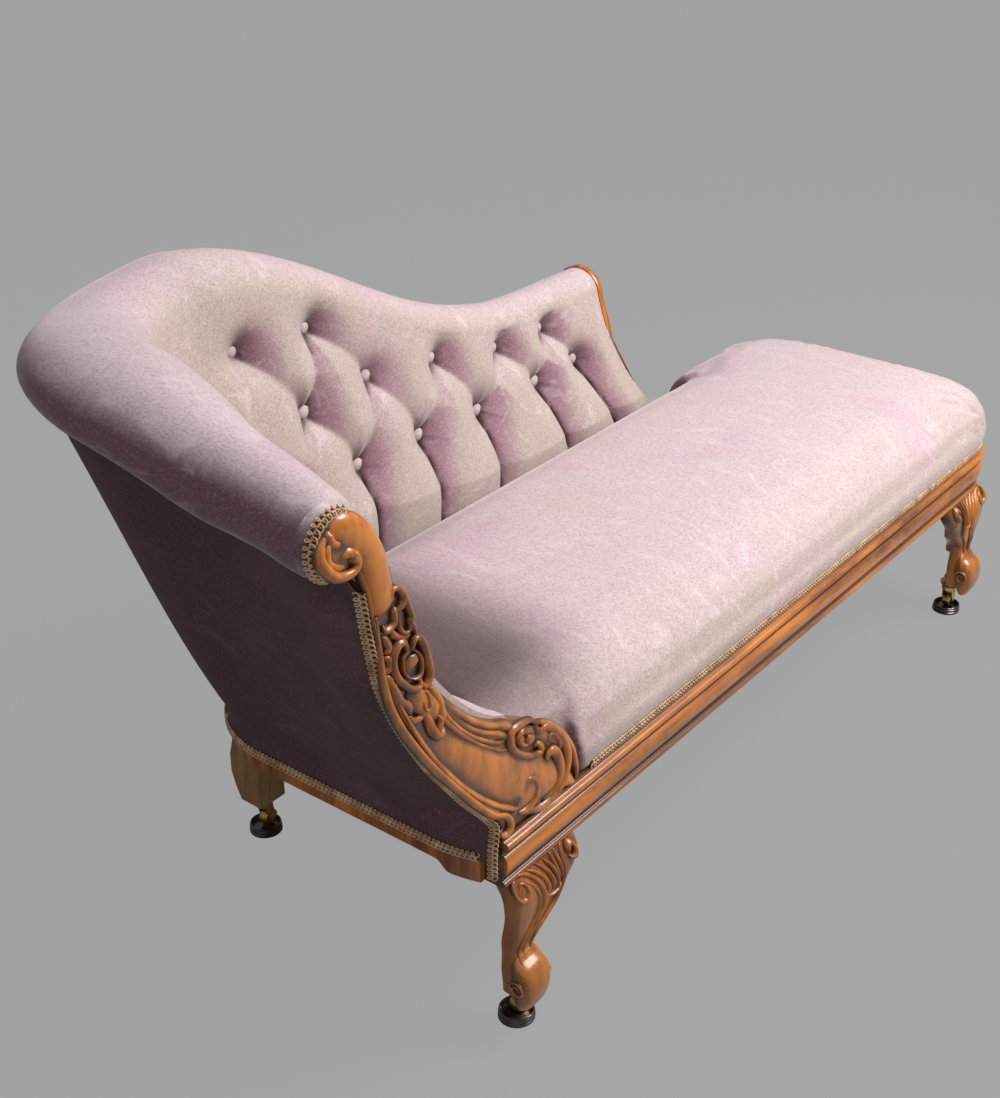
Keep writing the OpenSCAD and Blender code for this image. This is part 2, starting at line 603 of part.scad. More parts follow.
// A bead that follows an edge of the facing, set in from it
module edge_bead(edge, inset, wide) {
    last = len(edge) - 1;
    normals = [for (i = [0:last]) let (
            d = edge[min(last, i + 1)] - edge[max(0, i - 1)]) [d[1], -d[0]] / norm(d)];
    polygon(concat([for (i = [0:last]) edge[i] + inset * normals[i]],
        [for (i = [last:-1:0]) edge[i] + (inset + wide) * normals[i]]));
}
function oval(centre, a, b, tilt) = [for (i = [0:35])
    centre + [a * cos(10 * i) * cos(tilt) - b * sin(10 * i) * sin(tilt),
        a * cos(10 * i) * sin(tilt) + b * sin(10 * i) * cos(tilt)]];
cartouche_centre = mix(outer_mid(0.56), inner_mid(0.56), 0.5);
function outer_mid(t) = facing_edge([outer_curve(0, t)])[0];
function inner_mid(t) = facing_edge([inner_curve(0, mix(0.3, 1, t))])[0];
cartouche_tilt = 30;
module cartouche_scroll(along, across, r, from_deg) {
    c = cos(cartouche_tilt);
    d = sin(cartouche_tilt);
    translate(cartouche_centre + [across * c - along * d, across * d + along * c])
        volute(r, 1.5, from_deg, 0.34 * r);
}
module carved() {
    board_xz(-carving_relief, carving_relief) children();
}
module facing_carving() {
    half_w = 0.42 * scroll_r;
    half_h = 0.66 * scroll_r;
    color("peru") placed() {
        carved() translate(scroll_centre) volute(0.96 * scroll_r, 2, 40, 0.24 * scroll_r);
        carved() translate(volute_centre - [0.25 * volute_r, 0])
            volute(0.72 * volute_r, 2, 200, 0.16 * volute_r);
        carved() difference() {
            polygon(oval(cartouche_centre, half_w, half_h, cartouche_tilt));
            polygon(oval(cartouche_centre, 0.62 * half_w, 0.7 * half_h, cartouche_tilt));
        }
        carved() cartouche_scroll(1.5 * half_h, -0.3 * half_w, 0.5 * half_w, 90);
        carved() cartouche_scroll(-1.6 * half_h, 0.3 * half_w, 0.6 * half_w, 250);
        board_xz(-0.5 * carving_relief, 0.5 * carving_relief) {
            edge_bead([for (i = [1:15]) facing_outer[i]], 0.06 * scroll_r, 0.13 * scroll_r);
            edge_bead(reversed([for (i = [1:11]) facing_inner[i]]), 0.06 * scroll_r, 0.13 * scroll_r);
        }
    }
}

// The slip that closes the raked end of the back, with a volute at its foot
function end_x(z) = in_space(3, [0, z])[0];
end_zs = [pad_low, axis_z(3), axis_z(3) + roll_r(3) + overrun];
slip_volute_r = 24;
module back_end_slip() {
    section = concat([for (t = layer_ts) wall_curve(3, t, 0)],
        [for (a = steps(180, 0, 12)) rim_point(3, a)],
        [for (t = reversed(layer_ts)) wall_curve(3, t, 1)]);
    volute_z = pad_low + 3 * slip_volute_r;
    color("chocolate") placed() {
        intersection() {
            board_xz(0, frame_depth + head_flare) polygon(concat(
                [for (z = end_zs) [end_x(z) + soft_gap, z]],
                [for (z = reversed(end_zs)) [end_x(z) + soft_gap + end_slip_t, z]]));
            board_yz(0, frame_len) polygon(concat(
                [for (p = section) [frame_depth + p[0], p[1]]], [[frame_depth, pad_low]]));
        }
        translate([end_x(volute_z) + soft_gap + 1.2 * slip_volute_r, frame_depth - rail_t, volute_z])
            rotate([90, 0, 0]) cylinder(r = slip_volute_r, h = rail_t, center = true, $fn = 48);
    }
}

// Posts and top rails inside the head and back
module posts_at(us, width_u) {
    for (u = us) loft([wood_ring(u, 0), wood_ring(u + width_u, 0)]);
}
back_post_u = post_t / back_span;
module head_posts() {
    color("burlywood") placed() posts_at([0, 1 - head_post_u], head_post_u);
}
module head_top_rail() {
    color("burlywood") placed() loft([for (u = [for (i = [1:7]) head_us[i]]) let (
        v = min(max(u, head_post_u + joint_u), 1 - head_post_u - joint_u))
        wood_ring(v, 0.75)]);
}
back_post_us = [2, 2.34, 2.67, 3 - back_post_u];
module back_posts() {
    color("burlywood") placed() posts_at(back_post_us, back_post_u);
}
module back_top_rail() {
    color("burlywood") placed() for (k = [0:2]) {
        low = back_post_us[k] + back_post_u + joint_u;
        high = back_post_us[k + 1] - joint_u;
        loft([for (u = concat([low], [for (v = back_us) if (v > low && v < high) v], [high]))
            wood_ring(u, 0.75)]);
    }
}

// Seat: webbing, springs, canvas, stuffing and the cover below
web_w = 50;
web_t = 2;
web_pitch = 172;
web_first_x = head_castor_x + 2.6 * leg_w;
web_count = floor((foot_castor_x - 2.6 * leg_w - web_first_x) / web_pitch);
web_ys = [0.33, 0.66];
module webbing() {
    color("tan") placed() {
        for (i = [0:web_count]) translate([web_first_x + i * web_pitch - web_w / 2,
            rail_t / 3, rail_low - web_t])
            cube([web_w, frame_depth - 2 * rail_t / 3, web_t]);
        for (share = web_ys) translate([rail_t - head_out, share * frame_depth - web_w / 2, rail_low])
            cube([frame_len - 2 * rail_t + head_out, web_w, web_t]);
    }
}
// An hourglass coil spring as one tube
spring_wire_r = 1.8;
spring_turns = 3;
turn_steps = 6;
spring_last = turn_steps * spring_turns;
spring_r = 34;
spring_waist_share = 0.6;
module spring(h) {
    rings = [for (i = [0:spring_last]) let (
            f = i / spring_last,
            a = 360 * i / turn_steps,
            q = spring_r * mix(1, spring_waist_share, sin(180 * f)),
            z = mix(spring_wire_r, h - spring_wire_r, f))
        [for (k = [0:3]) let (b = 90 * k + 45)
            concat((q + 1.4 * spring_wire_r * cos(b)) * [cos(a), sin(a)],
                [z + spring_wire_r * sin(b)])]];
    loft([for (ring = rings) reversed(ring)]);
}
module springs() {
    base = rail_low + web_t;
    color("silver") placed() for (i = [0:web_count], share = web_ys)
        translate([web_first_x + i * web_pitch, share * frame_depth, base])
            spring(rail_top - base);
}
// The frame's outline in plan, set in from the rails' faces
function plan(inset) = concat(
    [[inset - head_out * 0.5, inset], [frame_len - foot_front_r, inset]],
    [for (a = steps(-80, 0, 8)) [frame_len - foot_front_r, foot_front_r]
        + (foot_front_r - inset) * [cos(a), sin(a)]],
    [for (a = steps(0, 90, 9)) [frame_len - foot_back_r, frame_depth - foot_back_r]
        + (foot_back_r - inset) * [cos(a), sin(a)]],
    [for (a = steps(90, 180, 9)) [corner_x, corner_y]
        + (head_corner_r - inset) * [cos(a), sin(a)]],
    [[inset - head_out, head_ease]]);
module spring_canvas() {
    color("burlywood") placed() difference() {
        translate([0, 0, rail_top]) linear_extrude(canvas_t) polygon(plan(0.72 * rail_t));
        translate([-overrun, -overrun, rail_top - overrun])
            cube([volute_centre[0] + volute_r + overrun, overrun + wall_front_y, 2 * overrun]);
    }
}
module leg_clearance(spot, size_x, y0, y1) {
    translate([spot[0] - size_x, y0, rail_low - overrun])
        cube([2 * size_x, y1 - y0, 2 * overrun]);
}
module dust_cover() {
    color("dimgray") placed() difference() {
        translate([0, 0, rail_low - web_t - canvas_t]) linear_extrude(canvas_t)
            polygon(plan(0.2 * rail_t));
        for (spot = [front_spot, front_foot_spot])
            leg_clearance(spot, leg_w / 2 + ear_w + 0.1 * leg_w, -overrun, 1.1 * knee_d);
        for (spot = [back_spot, back_foot_spot])
            leg_clearance(spot, 0.6 * leg_w, frame_depth - 1.1 * knee_d, frame_depth + knee_d);
    }
}

// Seat cushion: rings of its outline, each set in and raised, then drawn together
// towards a spine along its middle. The sides next to head and back are set in less
seat_curve_share = [[1, 0], [1, 0.09], [0, 0.16], [-0.6, 0.36], [1.5, 0.56], [6, 0.73]];
crown_share = [[0.12, 0.86], [0.3, 0.94], [0.56, 0.985], [0.82, 1]];
seat_shy_share = 0.3;
spine_in = 200;
seat_step_x = end_x(pad_low) + end_slip_t + soft_gap + slip_volute_r;
notch_y = wall_front_y + soft_gap;
function notch_share(d) = clamp01(d / notch_y);
function seat_edge(d, swell) = let (
        shy = max(0, d) * seat_shy_share,
        left = rail_t - head_out + soft_gap + shy,
        notch_x = volute_centre[0] + volute_r + soft_gap + d,
        foot_x = frame_len + swell,
        back_y = frame_depth - 1.5 * rail_t - soft_gap - shy)
    concat([[left, notch_y + shy], [mix(left, notch_x, 0.5), notch_y + shy], [notch_x, notch_y + shy],
            [notch_x + seat_inset, mix(0.6 * notch_y, notch_y + shy, notch_share(d))],
            [notch_x + 2 * seat_inset, d]],
        [for (x = steps(notch_x + 6 * seat_inset, foot_x - foot_front_r - seat_inset, 5)) [x, d]],
        [for (a = steps(-80, -2, 5)) [foot_x - foot_front_r, foot_front_r]
            + (foot_front_r - d) * [cos(a), sin(a)]],
        [for (a = steps(2, 86, 6)) [foot_x - foot_back_r, frame_depth - foot_back_r]
            + (foot_back_r - d) * [cos(a), sin(a)]],
        [[seat_step_x + 3 * seat_inset, frame_depth - d], [seat_step_x + seat_inset,
            mix(frame_depth - d, back_y, 0.5)], [seat_step_x, back_y]],
        [for (x = steps(back_end_x, corner_x + seat_inset, 5)) [x, back_y]],
        [for (u = steps(1.85, 1, 4)) path_point(u) + path_out(u) * (inner_foot(u) - 4 * soft_gap - shy)],
        [[left, mix(corner_y, notch_y, 0.5)]]);
function seat_ring(d, rise, pull) = [for (p = seat_edge(d, rise < 0.1 ? 0 : seat_over)) let (
        spine = [min(max(p[0], spine_in), frame_len - spine_in), frame_depth / 2],
        q = mix(p, spine, pull))
    [q[0], q[1], mix(pad_low, seat_top, rise)]];
seat_last = seat_curve_share[len(seat_curve_share) - 1];
module seat() {
    color("rosybrown") placed() loft(concat(
        [for (row = seat_curve_share) seat_ring(row[0] * seat_inset, row[1], 0)],
        [for (row = crown_share) seat_ring(seat_last[0] * seat_inset, row[1], row[0])]),
        [[seat_step_x, frame_depth / 2, pad_low], [frame_len / 2, frame_depth / 2, seat_top]]);
}

// Soft pieces of the head and back
module head_pad() {
    color("rosybrown") placed() strip_loft([for (u = head_us) pad_ring(u, plain_face(u))]);
}
module corner_pad() {
    color("rosybrown") placed() loft([for (u = corner_us) pad_ring(u, plain_face(u))]);
}
module back_pad() {
    color("rosybrown") placed()
        strip_loft([for (i = [0:back_count]) pad_ring(back_us[i], tufted_face(i))]);
}
module head_roll() {
    color("thistle") placed() loft([for (u = head_us) roll_ring(u)]);
}
module corner_roll() {
    color("thistle") placed() loft([for (u = corner_us) roll_ring(u)]);
}
module back_roll() {
    color("thistle") placed() loft([for (u = back_us) roll_ring(u)],
        [for (u = [2, 3]) in_space(u, [axis_out(u), axis_z(u)])]);
}
module outside_head() {
    color("dimgray") placed() strip_loft([for (u = head_us) cover_ring(u)]);
}
module outside_corner() {
    color("dimgray") placed() loft([for (u = corner_us) cover_ring(u)]);
}
module outside_back() {
    color("dimgray") placed() strip_loft([for (u = back_cover_us) cover_ring(u)]);
}
// A covered button with the twine that draws it into the pad
button_h = 7;
twine_r = 1.5;
button_stand = 0.56 * tuft_depth;
button_tilt = 14;
module covered_button() {
    rotate_extrude($fn = 32) polygon([[0, 0], [twine_r, 0], [twine_r, button_stand],
        [0.9 * button_r, button_stand], [button_r, button_stand + 0.3 * button_h],
        [0.92 * button_r, button_stand + 0.65 * button_h],
        [0.6 * button_r, button_stand + 0.93 * button_h], [0, button_stand + button_h]]);
}
module back_buttons() {
    color("rosybrown") placed() for (spot = button_spots) {
        u = back_us[spot[0]];
        p = tufted_face(spot[0])[spot[1]];
        q = in_space(u, p + [-2.4 * soft_gap, 0]);
        translate(q) rotate([90 + button_tilt, 0, 0]) covered_button();
    }
}

// Braid along the seams
module gimp_braid() {
    rail_gimp_y = seat_inset - soft_gap - gimp_t;
    profile = [gimp_t, gimp_h];
    braid_out = cover_gap + cover_t + 1.4 * soft_gap;
    notch_x = volute_centre[0] + volute_r + soft_gap + 2 * seat_inset;
    color("tan") placed() {
        translate([notch_x, rail_gimp_y, rail_top])
            cube([frame_len - foot_front_r - notch_x, gimp_t, gimp_h]);
        translate([frame_len - foot_front_r, foot_front_r, rail_top]) rotate([0, 0, -90])
            rotate_extrude(angle = 90, $fn = 96)
            translate([foot_front_r - rail_gimp_y - gimp_t, 0]) square(profile);
        translate([frame_len - rail_gimp_y - gimp_t, foot_front_r, rail_top])
            cube([gimp_t, frame_depth - foot_front_r - foot_back_r, gimp_h]);
        translate([frame_len - foot_back_r, frame_depth - foot_back_r, rail_top])
            rotate_extrude(angle = 90, $fn = 96)
            translate([foot_back_r - rail_gimp_y - gimp_t, 0]) square(profile);
        loft([for (u = concat(head_us, [for (v = corner_us) if (v > 1) v])) all_in_space(u, [
            [braid_out, cover_low], [braid_out, cover_low + gimp_h],
            [braid_out + gimp_t, cover_low + gimp_h], [braid_out + gimp_t, cover_low]])]);
        board_xz(wall_front_y, 0.7 * gimp_h) {
            edge_bead(reversed([for (i = [1:16]) facing_outer[i]]), 4 * soft_gap, gimp_t);
            translate(scroll_centre) difference() {
                circle(r = scroll_r + 4 * soft_gap + gimp_t, $fn = 72);
                circle(r = scroll_r + 4 * soft_gap, $fn = 72);
                translate([-0.4 * scroll_r, -2 * scroll_r]) square([3 * scroll_r, 2.6 * scroll_r]);
                translate([0, -2 * scroll_r]) square([3 * scroll_r, 4 * scroll_r]);
            }
        }
    }
}

// Castors: a plate with its pin, a swivelling horn, an axle, a wheel and a cup to stand in
spots = [front_spot, front_foot_spot, back_spot, back_foot_spot];
screw_r = 1.75;
screw_len = 18;
screw_ring_r = 12;
plate_r = 17;
plate_t = 3;
boss_r = 9;
boss_h = 5;
crown_r = 13;
crown_h = 6;
rivet_r = 6;
rivet_h = 2.8;
horn_play = 0.2;
cheek_t = 2;
cheek_r = 6;
cup_floor = 6;
wheel_lift = 0.3;
side_play = 0.5;
cup_rim = 3;
axle_z = cup_floor + wheel_lift + wheel_r;
crown_top = leg_foot_z - plate_t - boss_h - horn_play;
module at_castor(k) {
    placed() translate([spots[k][0], spots[k][1], 0]) children();
}
module screw_places() {
    for (k = [0:2]) rotate([0, 0, 120 * k + 30]) translate([screw_ring_r, 0, 0]) children();
}
module castor_plate(k) {
    color("goldenrod") at_castor(k) difference() {
        union() {
            translate([0, 0, leg_foot_z - plate_t]) cylinder(r = plate_r, h = plate_t, $fn = 64);
            translate([0, 0, crown_top + horn_play]) cylinder(r = boss_r, h = boss_h, $fn = 48);
            translate([0, 0, crown_top - crown_h - horn_play])
                cylinder(r = pin_r, h = crown_h + 2 * horn_play + boss_h, $fn = 48);
            translate([0, 0, crown_top - crown_h - horn_play - rivet_h])
                cylinder(r = rivet_r, h = rivet_h, $fn = 32);
        }
        screw_places() translate([0, 0, leg_foot_z - 2 * plate_t])
            cylinder(r = screw_r, h = 3 * plate_t, $fn = 24);
    }
}
module castor_horn(k) {
    inner = wheel_w / 2 + side_play;
    color("goldenrod") at_castor(k) difference() {
        union() {
            translate([0, 0, crown_top - crown_h]) cylinder(r = crown_r, h = crown_h, $fn = 64);
            for (side = [-1, 1]) translate([0, side * (inner + cheek_t / 2) + cheek_t / 2, 0])
                rotate([90, 0, 0]) linear_extrude(cheek_t) {
                    translate([trail, axle_z]) circle(r = cheek_r, $fn = 40);
                    polygon([[trail - cheek_r, axle_z], [trail + cheek_r, axle_z],
                        [0.66 * crown_r, crown_top - 0.4 * crown_h],
                        [-0.6 * crown_r, crown_top - 0.4 * crown_h]]);
                }
        }
        translate([0, 0, crown_top - 2 * crown_h])
            cylinder(r = pin_r + run_fit, h = 3 * crown_h, $fn = 48);
        translate([trail, 0, axle_z]) rotate([90, 0, 0])
            cylinder(r = axle_r, h = 4 * wheel_w, center = true, $fn = 32);
    }
}
module castor_axle(k) {
    color("silver") at_castor(k) translate([trail, 0, axle_z]) rotate([90, 0, 0])
        cylinder(r = axle_r - 0.2 * run_fit, h = wheel_w + 2 * (side_play + cheek_t), center = true,
            $fn = 32);
}
module castor_wheel(k) {
    color("gold") at_castor(k) translate([trail, 0, axle_z]) rotate([90, 0, 0])
        translate([0, 0, -wheel_w / 2]) rotate_extrude($fn = 64) polygon([
            [axle_r + run_fit, 0], [0.8 * wheel_r, 0], [0.95 * wheel_r, 0.12 * wheel_w],
            [wheel_r, 0.4 * wheel_w], [wheel_r, 0.6 * wheel_w], [0.95 * wheel_r, 0.88 * wheel_w],
            [0.8 * wheel_r, wheel_w], [axle_r + run_fit, wheel_w]]);
}
module castor_cup(k) {
    dish_r = cup_r - cup_rim;
    color("saddlebrown") at_castor(k) rotate_extrude($fn = 72) polygon([
        [0, 0], [cup_r, 0], [cup_r, 0.22 * cup_h], [0.94 * cup_r, 0.3 * cup_h],
        [0.98 * cup_r, 0.42 * cup_h], [0.98 * cup_r, 0.56 * cup_h], [0.92 * cup_r, 0.64 * cup_h],
        [0.95 * cup_r, 0.72 * cup_h], [0.95 * cup_r, 0.8 * cup_h], [0.9 * cup_r, 0.86 * cup_h],
        [dish_r, 0.86 * cup_h], [dish_r - 0.5 * (0.86 * cup_h - cup_floor), cup_floor],
        [0, cup_floor]]);
}
module castor_screws() {
    color("gold") placed() for (k = [0:3]) translate([spots[k][0], spots[k][1],
        leg_foot_z - plate_t]) screw_places()
            cylinder(r = screw_r - 0.2 * run_fit, h = plate_t + 0.95 * screw_len, $fn = 24);
}

front_rail();
foot_front_corner();
foot_rail();
foot_back_corner();
back_rail();
head_corner();
head_rail();
corner_blocks();
leg_front_head();
leg_front_foot();
leg_back_head();
leg_back_foot();
leg_dowels();
scroll_facing();
facing_carving();
back_end_slip();
head_posts();
head_top_rail();
back_posts();
back_top_rail();
webbing();
springs();
spring_canvas();
dust_cover();
seat();
head_pad();
corner_pad();
back_pad();
back_buttons();
head_roll();
corner_roll();
back_roll();
outside_head();
outside_corner();
outside_back();
gimp_braid();
castor_screws();
castor_plate(0);  // castor_plate_front_head
castor_plate(1);  // castor_plate_front_foot
castor_plate(2);  // castor_plate_back_head
castor_plate(3);  // castor_plate_back_foot
castor_horn(0);  // castor_horn_front_head
castor_horn(1);  // castor_horn_front_foot
castor_horn(2);  // castor_horn_back_head
castor_horn(3);  // castor_horn_back_foot
castor_axle(0);  // castor_axle_front_head
castor_axle(1);  // castor_axle_front_foot
castor_axle(2);  // castor_axle_back_head
castor_axle(3);  // castor_axle_back_foot
castor_wheel(0);  // castor_wheel_front_head
castor_wheel(1);  // castor_wheel_front_foot
castor_wheel(2);  // castor_wheel_back_head
castor_wheel(3);  // castor_wheel_back_foot
castor_cup(0);  // castor_cup_front_head
castor_cup(1);  // castor_cup_front_foot
castor_cup(2);  // castor_cup_back_head
castor_cup(3);  // castor_cup_back_foot
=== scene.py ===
import json
from math import sin, cos, pi, radians, exp, hypot, sqrt, atan2

import bpy
from mathutils import Matrix, Vector, kdtree, noise


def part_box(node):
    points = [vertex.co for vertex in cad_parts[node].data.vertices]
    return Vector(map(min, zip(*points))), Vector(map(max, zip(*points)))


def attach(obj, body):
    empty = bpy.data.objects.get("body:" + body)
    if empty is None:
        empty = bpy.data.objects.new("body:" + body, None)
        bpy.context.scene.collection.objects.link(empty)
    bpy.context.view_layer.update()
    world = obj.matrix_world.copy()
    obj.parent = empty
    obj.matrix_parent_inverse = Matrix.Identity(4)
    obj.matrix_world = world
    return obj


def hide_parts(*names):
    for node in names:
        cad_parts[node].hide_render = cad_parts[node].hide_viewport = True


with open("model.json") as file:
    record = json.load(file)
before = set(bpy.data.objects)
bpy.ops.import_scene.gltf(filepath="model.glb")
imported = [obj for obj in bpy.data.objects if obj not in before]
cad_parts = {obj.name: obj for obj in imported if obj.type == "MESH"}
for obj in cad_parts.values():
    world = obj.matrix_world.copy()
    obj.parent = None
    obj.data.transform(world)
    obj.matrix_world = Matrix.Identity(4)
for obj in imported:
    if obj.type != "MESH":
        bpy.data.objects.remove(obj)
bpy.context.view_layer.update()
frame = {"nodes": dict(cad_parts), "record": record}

scene = bpy.context.scene
scene.view_settings.view_transform = "Standard"
nodes = frame["nodes"]


# Small helpers

def mix(a, b, share):
    return a + (b - a) * share


def clamp(value, low=0.0, high=1.0):
    return min(max(value, low), high)


def easeIn(value, start=0.0, reach=1.0):  # 0 up to start, 1 from start + reach on
    v = clamp((value - start) / reach)
    return v * v * (3 - 2 * v)


def steps(a, b, count):
    return [mix(a, b, i / count) for i in range(count + 1)]


def tableAt(rows, u):
    for (a, low), (b, high) in zip(rows, rows[1:]):
        if u <= b:
            return mix(low, high, clamp((u - a) / (b - a)))
    return rows[-1][1]


def smoothAt(rows, u, reach=0.09):
    near = tableAt(rows, u - reach / 2) + tableAt(rows, u) + tableAt(rows, u + reach / 2)
    return (tableAt(rows, u - reach) + 2 * near + tableAt(rows, u + reach)) / 8


def bezierAt(handles, t):
    a, b, c, d = handles
    return a * (1 - t) ** 3 + b * (3 * (1 - t) ** 2 * t) + c * (3 * (1 - t) * t * t) + d * t ** 3


def tenths(*numbers):  # points of a drawing in tenths of a millimetre, as metres
    return [(x / 10000, z / 10000) for x, z in zip(numbers[::2], numbers[1::2])]


def deselect():
    if bpy.context.mode != "OBJECT":
        bpy.ops.object.mode_set(mode="OBJECT")
    bpy.ops.object.select_all(action="DESELECT")


def pick(piece):
    deselect()
    piece.select_set(True)
    bpy.context.view_layer.objects.active = piece


def editAll(piece, *works):  # edit operators with their settings, each run on the whole mesh
    pick(piece)
    bpy.ops.object.mode_set(mode="EDIT")
    for work, settings in works:
        bpy.ops.mesh.select_all(action="SELECT")
        work(**settings)
    bpy.ops.object.mode_set(mode="OBJECT")


def closeUp(piece, merge=0.00005):  # merges doubles, fills open ends, turns the faces outwards
    editAll(piece, (bpy.ops.mesh.remove_doubles, {"threshold": merge}),
            (bpy.ops.mesh.fill_holes, {"sides": 0}),
            (bpy.ops.mesh.normals_make_consistent, {"inside": False}))


def paint(piece, name, values):  # a number for each point of the mesh, read by a material
    layer = piece.data.attributes.new(name, "FLOAT", "POINT")
    layer.data.foreach_set("value", values)


def skin(name, across, along, place, facts=()):
    # A closed skin: a grid whose points are placed by a function of two shares. facts are
    # names of the numbers that place() gives besides the point
    deselect()
    bpy.ops.mesh.primitive_grid_add(x_subdivisions=across, y_subdivisions=along, size=1)
    piece = bpy.context.object
    piece.name = name
    found = []
    for v in piece.data.vertices:
        made = place(v.co.x + 0.5, v.co.y + 0.5)
        point, extra = (made[0], made[1:]) if facts else (made, ())
        v.co = point
        found.append(extra)
    for i, fact in enumerate(facts):
        paint(piece, fact, [row[i] for row in found])
    closeUp(piece)
    return piece


def joined(name, parts):
    deselect()
    for part in parts:
        part.select_set(True)
    bpy.context.view_layer.objects.active = parts[0]
    if len(parts) > 1:
        bpy.ops.object.join()
    parts[0].name = name
    return parts[0]


def modify(piece, kind, **settings):
    pick(piece)
    added = piece.modifiers.new(kind.title(), kind)
    for key, value in settings.items():
        setattr(added, key, value)
    bpy.ops.object.modifier_apply(modifier=added.name)


def smoothFaces(piece, degrees=None):
    pick(piece)
    if degrees is None:
        bpy.ops.object.shade_smooth()
    else:
        bpy.ops.object.shade_smooth_by_angle(angle=radians(degrees))


def finishPiece(piece, finish, slotName, *replaced):
    piece.data.materials.clear()
    piece.data.materials.append(finish)
    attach(piece, "frame")
    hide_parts(*replaced)


# Frame of the couch: x to the foot, y to the back, from the front rail's head end

couch = dict(
    length=1.485, depth=0.540, railLow=0.250, railHigh=0.325, railT=0.028,
    headOut=0.020, headEase=0.090, cornerR=0.155, footFrontR=0.100, footBackR=0.145,
    backStop=0.432, wallFront=0.0265, padLow=0.327,
)
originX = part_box("front_rail")[0].x
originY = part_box("back_rail")[1].y - couch["depth"]
cornerX = couch["cornerR"] - couch["headOut"]
cornerY = couch["depth"] - couch["cornerR"]
backEndX = couch["length"] - couch["backStop"]
backSpan = backEndX - cornerX


def toFrame(x, y, z):
    return Vector((x + originX, y + originY, z))


def headFaceX(y):
    return -couch["headOut"] * sin(pi / 2 * clamp(y / couch["headEase"]))


# Camera, as the photograph was taken

shot = dict(
    spot=(-1.2336, -0.9488, 1.55), pitch=28.1, yaw=37.7, focal=1630, tall=1098, sensor=36,
    sight=60,
)


def setCamera():
    pitch, yaw = radians(shot["pitch"]), radians(shot["yaw"])
    forward = Vector((cos(pitch) * cos(yaw), cos(pitch) * sin(yaw), -sin(pitch)))
    right = Vector((sin(yaw), -cos(yaw), 0))
    up = right.cross(forward)
    deselect()
    bpy.ops.object.camera_add(location=toFrame(*shot["spot"]))
    camera = bpy.context.object
    turn = Matrix((right, up, -forward)).transposed()
    camera.rotation_euler = turn.to_euler()
    camera.data.sensor_width = shot["sensor"]
    camera.data.lens = shot["focal"] / shot["tall"] * shot["sensor"]
    camera.data.clip_end = shot["sight"]
    scene.camera = camera


setCamera()
print("camera set")


# Shader maths as Python expressions

class Wire:
    def __init__(self, finish, socket):
        self.finish, self.socket = finish, socket

    def calc(self, operation, first, second):
        return self.finish.node("ShaderNodeMath", {"operation": operation}, {0: first, 1: second})

    def __add__(self, other):
        return self.calc("ADD", self, other)

    def __radd__(self, other):
        return self.calc("ADD", other, self)

    def __sub__(self, other):
        return self.calc("SUBTRACT", self, other)

    def __rsub__(self, other):
        return self.calc("SUBTRACT", other, self)

    def __mul__(self, other):
        return self.calc("MULTIPLY", self, other)

    def __rmul__(self, other):
        return self.calc("MULTIPLY", other, self)

    def atLeast(self, other):
        return self.calc("MAXIMUM", self, other)

    def between(self, low, high):  # 0 below low, 1 above high
        return self.finish.node(
            "ShaderNodeMapRange", {"interpolation_type": "SMOOTHSTEP"},
            {"Value": self, "From Min": low, "From Max": high})


